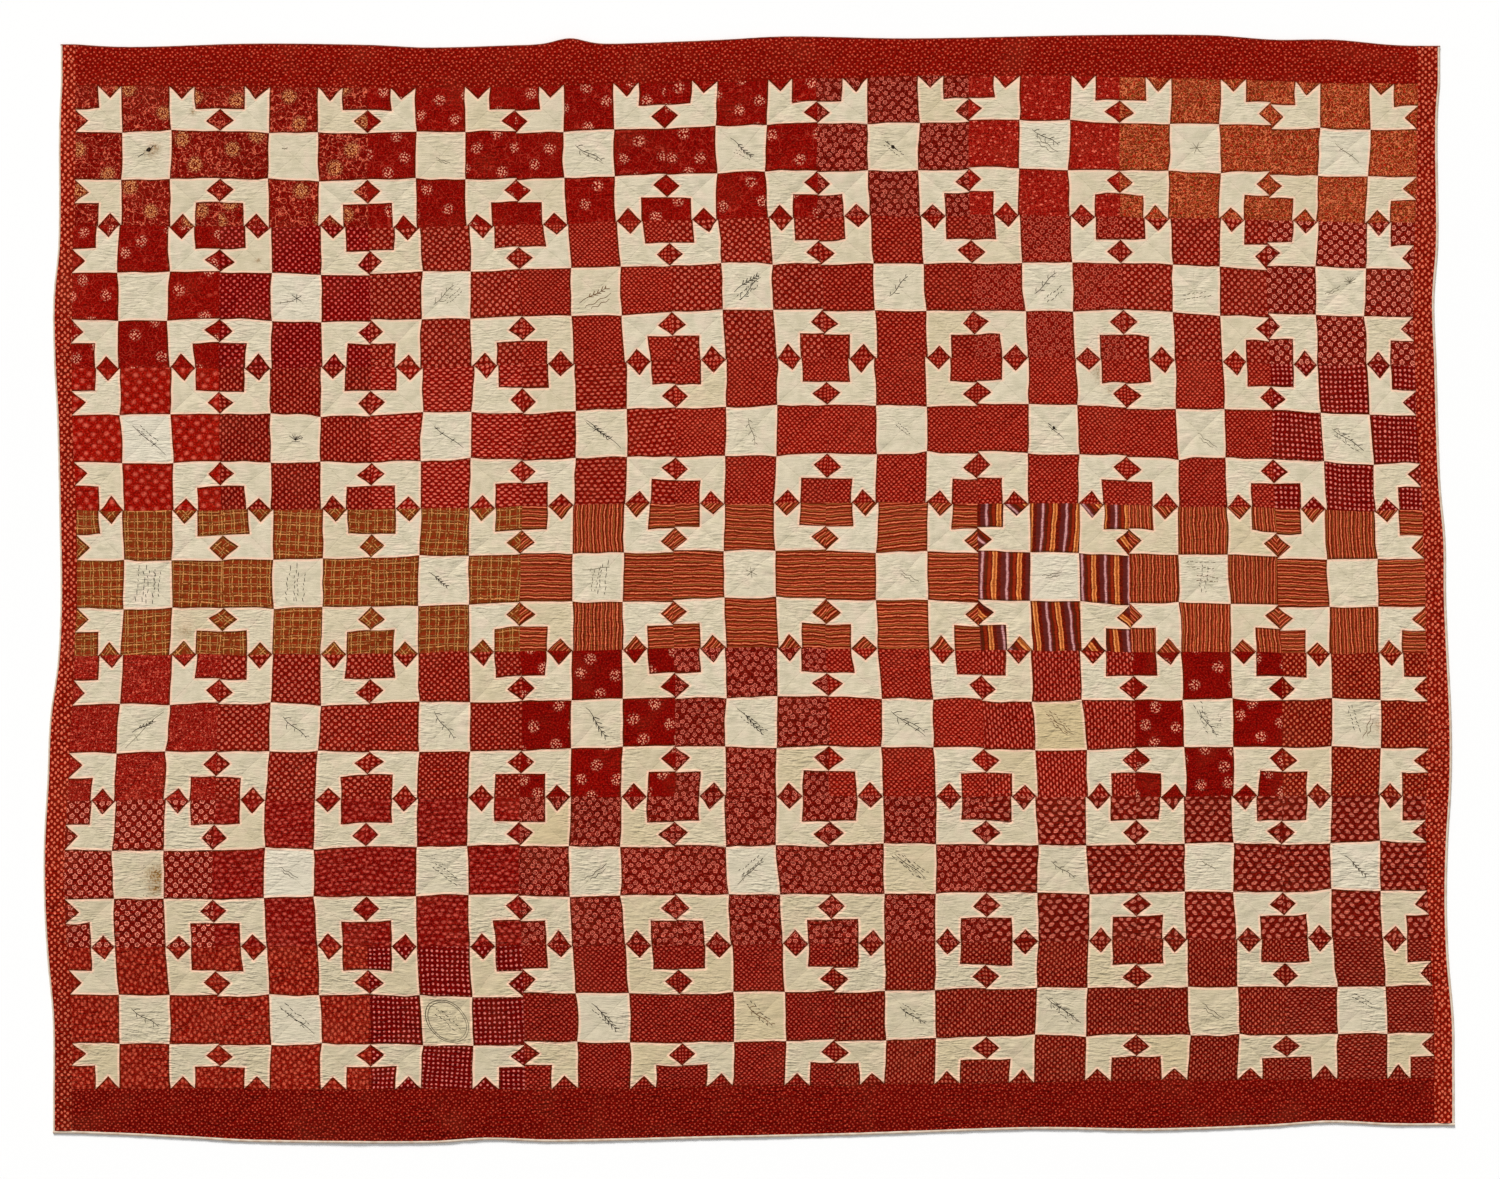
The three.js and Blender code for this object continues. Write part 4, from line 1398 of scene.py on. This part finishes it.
# What the signed squares hold, by the row that they are in: column, drawing, place across and up from
# the square's middle, slant in degrees, length, and ink.
INK_CHART = {
    1: (
        (1, blot, 2, 9, 30, 13, DARK), (2, specks, -14, 13, 10, 8, FAINT),
        (3, ripples, 4, -6, -20, 22, FAINT), (4, sprig, 0, 2, -38, 48, MEDIUM),
        (4, long_line, 6, -6, -36, 36, FAINT), (5, grass_ear, 0, 4, -40, 45, MEDIUM),
        (5, rows, 4, -10, -30, 31, FAINT), (6, blot, 0, 0, -40, 10, DARK),
        (6, rows, 0, -4, -38, 31, MEDIUM), (7, sprig, 0, 12, -34, 48, MEDIUM),
        (7, ripples, 2, 2, -34, 42, FAINT), (8, star, 2, 0, 0, 20, FAINT),
        (9, long_line, 4, 2, -40, 48, FAINT),
    ),
    2: (
        (2, star, 0, 0, 20, 18, DARK), (2, long_line, -18, -6, 4, 28, FAINT),
        (3, sprig, -4, 0, 38, 42, FAINT), (3, rows, 12, -4, 36, 31, FAINT),
        (4, grass_ear, -4, -6, 34, 50, BROWN), (4, ripples, 4, -14, 30, 48, BROWN),
        (5, grass_ear, -2, 4, 38, 45, DARK), (5, sprig, 4, -4, 42, 50, DARK),
        (5, rows, 2, -8, 36, 39, DARK), (6, sprig, 0, 2, 42, 42, MEDIUM),
        (7, sprig, -4, 6, 40, 45, MEDIUM), (7, rows, 10, -12, 36, 34, MEDIUM),
        (8, rows, 0, -10, 10, 42, FAINT), (9, ripples, -12, 2, 30, 28, FAINT),
        (9, tuft, 14, 14, 20, 22, FAINT),
    ),
    3: (
        (1, rows, 0, 4, -40, 36, MEDIUM), (1, long_line, 2, -2, -44, 64, MEDIUM),
        (2, tuft, 0, -2, 0, 20, DARK), (2, specks, 4, 2, 0, 14, MEDIUM), (3, specks, -14, 12, 0, 7, DARK),
        (3, long_line, 4, -2, -38, 56, DARK), (4, grass_ear, -8, 8, -40, 39, DARK),
        (4, long_line, 2, -2, -42, 67, DARK), (5, sprig, 0, 0, -82, 42, FAINT),
        (6, rows, 2, 0, -40, 25, MEDIUM), (7, blot, 0, 2, -40, 7, DARK),
        (7, long_line, 4, -4, -40, 31, MEDIUM), (8, ripples, 10, -10, -36, 36, FAINT),
        (9, sprig, 0, 2, -38, 50, MEDIUM), (9, rows, 4, -6, -38, 48, MEDIUM),
    ),
    4: (
        (1, rows, -10, 2, 84, 54, DARK), (1, rows, 6, 0, 86, 56, DARK), (1, rows, 15, 2, 88, 40, MEDIUM),
        (2, rows, -8, 0, 84, 54, MEDIUM), (2, rows, 6, -4, 86, 48, MEDIUM),
        (3, grass_ear, -8, 2, -36, 36, MEDIUM), (4, rows, 8, -2, 86, 48, MEDIUM),
        (4, rows, -4, -4, 84, 34, FAINT), (4, long_line, -4, 14, 2, 39, FAINT),
        (5, star, 2, 2, 30, 17, FAINT), (6, ripples, 10, 0, -30, 34, FAINT),
        (7, ripples, -4, 4, 12, 31, FAINT), (8, rows, -4, 20, 0, 45, FAINT),
        (8, rows, 2, 2, 82, 44, MEDIUM), (8, rows, 6, 0, -4, 34, BROWN),
    ),
    5: (
        (1, grass_ear, 0, 2, 34, 34, MEDIUM), (1, long_line, 2, -2, 44, 78, FAINT),
        (2, sprig, 0, 0, -46, 50, DARK), (3, sprig, 0, 2, -58, 50, DARK),
        (4, grass_ear, 0, 2, -52, 56, DARK), (5, grass_ear, -2, 4, -38, 48, DARK),
        (5, rows, 4, -4, -38, 45, DARK), (6, sprig, 0, 2, -36, 59, DARK),
        (6, long_line, 6, -6, -38, 48, MEDIUM), (7, ripples, 2, 2, -40, 46, BROWN),
        (7, rows, -4, 6, -44, 40, BROWN), (8, sprig, 0, 0, -62, 48, DARK), (8, rows, -8, 8, -66, 50, DARK),
        (8, specks, 18, 2, 80, 22, DARK), (9, rows, -6, 8, -74, 40, DARK),
        (9, ripples, 16, -4, 72, 40, BROWN),
    ),
    6: (
        (1, specks, 12, -6, 80, 52, MEDIUM), (2, ripples, 0, 0, -30, 32, MEDIUM),
        (3, specks, 0, 4, -40, 50, DARK), (3, rows, 4, -6, -38, 44, DARK),
        (4, ripples, 0, 0, 36, 39, MEDIUM), (5, rows, 0, 6, 34, 40, MEDIUM),
        (5, sprig, 2, 2, 30, 42, MEDIUM), (5, long_line, -8, -6, 44, 40, FAINT),
        (6, rows, -6, 4, -38, 52, MEDIUM), (6, rows, 6, -2, -36, 50, MEDIUM),
        (6, long_line, 0, 2, -40, 60, MEDIUM), (7, sprig, 0, 0, -40, 42, MEDIUM),
        (8, long_line, 0, 2, -36, 25, FAINT), (9, grass_ear, 0, 2, -38, 45, MEDIUM),
    ),
    7: (
        (1, sprig, 0, 2, -38, 48, DARK), (2, long_line, 2, 0, -42, 66, DARK),
        (2, rows, -2, 6, -40, 46, DARK), (3, oval, 0, 0, -40, 72, MEDIUM),
        (3, specks, 0, 10, -24, 36, DARK), (4, grass_ear, 0, 2, -46, 52, DARK),
        (4, rows, -4, 2, -48, 34, DARK), (5, sprig, 0, 2, -44, 48, BROWN),
        (5, rows, -2, 5, -46, 46, MEDIUM), (6, rows, 0, 4, -36, 36, DARK),
        (6, sprig, 4, -2, -38, 44, DARK), (7, sprig, -2, 6, -40, 50, DARK),
        (7, rows, 4, -4, -42, 42, MEDIUM), (7, long_line, 8, 0, -40, 56, MEDIUM),
        (8, ripples, 0, 2, -36, 40, MEDIUM), (9, rows, 2, 12, -30, 34, DARK),
    ),
}
INK_TONES = {
    DARK: ((34, 27, 21), (58, 46, 36)),
    MEDIUM: ((58, 48, 38), (88, 74, 58)),
    BROWN: ((100, 66, 36), (126, 88, 54)),
    FAINT: ((118, 108, 88), (144, 132, 108)),
}
INK_STEP = 1.4
INK_LIFT = 0.42  # how high a stroke's middle stands over the cloth
INK_SINK = 0.05  # how deep its sides lie in it


def on_block(top, points):
    """Points of a block's top face, from places in patch widths counted from its lower left corner."""
    share = np.clip(points * STEPS_A_PATCH, 0, len(top) - 1.001)
    i, j = share.astype(int).T
    across, up = (share - np.floor(share)).T[:, :, None]
    low = top[j, i] * (1 - across) + top[j, i + 1] * across
    high = top[j + 1, i] * (1 - across) + top[j + 1, i + 1] * across
    return low * (1 - up) + high * up


def even_points(points, step):
    """A polyline with points at even steps."""
    lengths = np.concatenate([[0], np.cumsum(np.hypot(*np.diff(points, axis=0).T))])
    places = np.linspace(0, lengths[-1], max(int(lengths[-1] / step), 2) + 1)
    return np.stack([np.interp(places, lengths, points[:, axis]) for axis in (0, 1)], 1)


def ink_ribbon(top, points, width):
    """A stroke on the cloth: a low three-sided bar that thins out at both ends."""
    points = even_points(points, INK_STEP)
    way = np.gradient(points, axis=0)
    way /= np.maximum(np.hypot(*way.T), 1e-6)[:, None]
    share = np.linspace(0, 1, len(points))
    half = 0.95 * width * (0.35 + 0.65 * np.sin(np.pi * np.clip(share, 0.04, 0.96)) ** 0.6)
    normal = np.stack([-way[:, 1], way[:, 0]], 1) * half[:, None]
    bars = []
    for place, lift in ((points + normal, -INK_SINK), (points, INK_LIFT), (points - normal, -INK_SINK)):
        on_cloth = on_block(top, PATCHES_A_BLOCK / 2 + place / [PATCH_WIDTH, PATCH_HEIGHT])
        bars.append(on_cloth + [0, 0, lift])
    corners = np.stack(bars, 1).reshape(-1, 3)
    at = 3 * np.arange(len(points) - 1)
    faces = []
    for side in range(3):
        after = (side + 1) % 3
        faces += [np.stack([at + side, at + side + 3, at + after + 3], 1)]
        faces += [np.stack([at + side, at + after + 3, at + after], 1)]
    last = 3 * (len(points) - 1)
    faces += [np.array([[0, 1, 2], [last + 2, last + 1, last]])]
    return corners, np.concatenate(faces)


def ink_cotton(name):
    """Faded iron ink, uneven along its strokes."""
    material, tree = new_material(name)
    place = object_place(tree)
    colour = blend(tree, cloudy(tree, place, 330.0, detail=3.0).smooth(0.35, 0.7), *INK_TONES[name])
    return finish_material(material, colour, cloudy(tree, place, 900.0) * 0.03)


def make_ink():
    materials = {name: ink_cotton(name) for name in INK_TONES}
    squares = {}
    for row, drawings in INK_CHART.items():
        for column, *drawing in drawings:
            squares.setdefault((row, column), []).append(drawing)
    for (row, column), drawings in squares.items():
        rng = np.random.default_rng(7000 + 10 * row + column)
        inks = sorted({drawing[-1] for drawing in drawings})
        points, groups, count = [], [], 0
        for drawing, across, up, slant, length, ink in drawings:
            turn = np.array(ways(slant, slant + 90))
            for line, width in drawing(length, rng):
                corners, faces = ink_ribbon(blocks[row, column], line @ turn + [across, up], width)
                points.append(corners)
                groups.append((faces + count, inks.index(ink), True))
                count += len(corners)
        mesh = build_mesh(f"ink_{row}_{column}", np.concatenate(points), groups)
        add_piece(mesh, [materials[ink] for ink in inks])


def make_floor():
    """A plain pale floor, far wider than the quilt."""
    half = 9.0
    corners = [(-half, -half, 0), (half, -half, 0), (half, half, 0), (-half, half, 0)]
    mesh = bpy.data.meshes.new("floor")
    mesh.from_pydata(corners, [], [(0, 1, 2, 3)])
    material, tree = new_material("pale_floor")
    colour = blend(tree, cloudy(tree, object_place(tree), 0.8, detail=1.0), (254, 254, 254), (255, 255, 255))
    mesh.materials.append(finish_material(material, colour, settings={"Roughness": 0.95}))
    add_object(mesh)


# Light and camera. Sun and sky together give DAYLIGHT on level cloth, the sun low from above the top
# edge, so that it shows the quilting.
SUN_HEIGHT = math.radians(30)
SUN_TURN = math.radians(14)  # towards the left
SUN_SHARE = 0.60
SUN_SOFTNESS = math.radians(16)

# The picture's width, a block's width in it and how far its middle lies below the block grid's, in
# pixels.
PICTURE_WIDTH = 1500
BLOCK_IN_PICTURE = 149.8
MIDDLE_SHIFT = 4.5
MM_A_PIXEL = PATCHES_A_BLOCK * PATCH_WIDTH / BLOCK_IN_PICTURE
CAMERA_SHIFT_DOWN = MIDDLE_SHIFT * MM_A_PIXEL
CAMERA_HEIGHT = 4.2
SENSOR_WIDTH = 36.0


def make_light():
    sun = bpy.data.lights.new("window_light", "SUN")
    sun.energy = SUN_SHARE * DAYLIGHT * math.pi / math.sin(SUN_HEIGHT)
    sun.angle = SUN_SOFTNESS
    sun.color = (1.0, 0.995, 0.985)
    add_object(sun).rotation_euler = (-(math.pi / 2 - SUN_HEIGHT), 0, SUN_TURN)
    world = bpy.data.worlds.new("soft_studio")
    world.use_nodes = True
    sky = world.node_tree.nodes["Background"]
    sky.inputs["Color"].default_value = (1.0, 1.0, 1.0, 1.0)
    sky.inputs["Strength"].default_value = (1 - SUN_SHARE) * DAYLIGHT
    bpy.context.scene.world = world
    bpy.context.scene.view_settings.view_transform = "Standard"


def make_camera():
    camera = bpy.data.cameras.new("camera")
    camera.sensor_width = SENSOR_WIDTH
    camera.lens = SENSOR_WIDTH * CAMERA_HEIGHT / (PICTURE_WIDTH * MM_A_PIXEL / METRE)
    view = add_object(camera)
    view.location = (-MIDDLE[0] / METRE, (-CAMERA_SHIFT_DOWN - MIDDLE[1]) / METRE, CAMERA_HEIGHT)
    bpy.context.scene.camera = view


def make_quilt():
    prints = {name: print_cotton(name) for name in PRINTS}
    white = white_cotton()
    backing = plain_cotton("backing_cotton", (214, 202, 176), (198, 184, 154))
    binding = plain_cotton("binding_cotton", (222, 204, 184), (204, 176, 152))
    dark_binding = plain_cotton("dark_binding_cotton", (150, 92, 74), (112, 44, 30))
    for row, names in enumerate(PRINT_ROWS, 1):
        for column, name in enumerate(names.split(), 1):
            make_block(row, column, [prints[name], white, backing])
    make_side("top", prints["top_border"], backing, dark_binding)
    make_side("bottom", prints["bottom_border"], backing, binding)
    make_side("left", prints["side_border"], backing, binding)
    make_side("right", prints["side_border"], backing, binding)


make_camera()
make_light()
make_floor()
make_quilt()
make_ink()

bpy.context.view_layer.update()
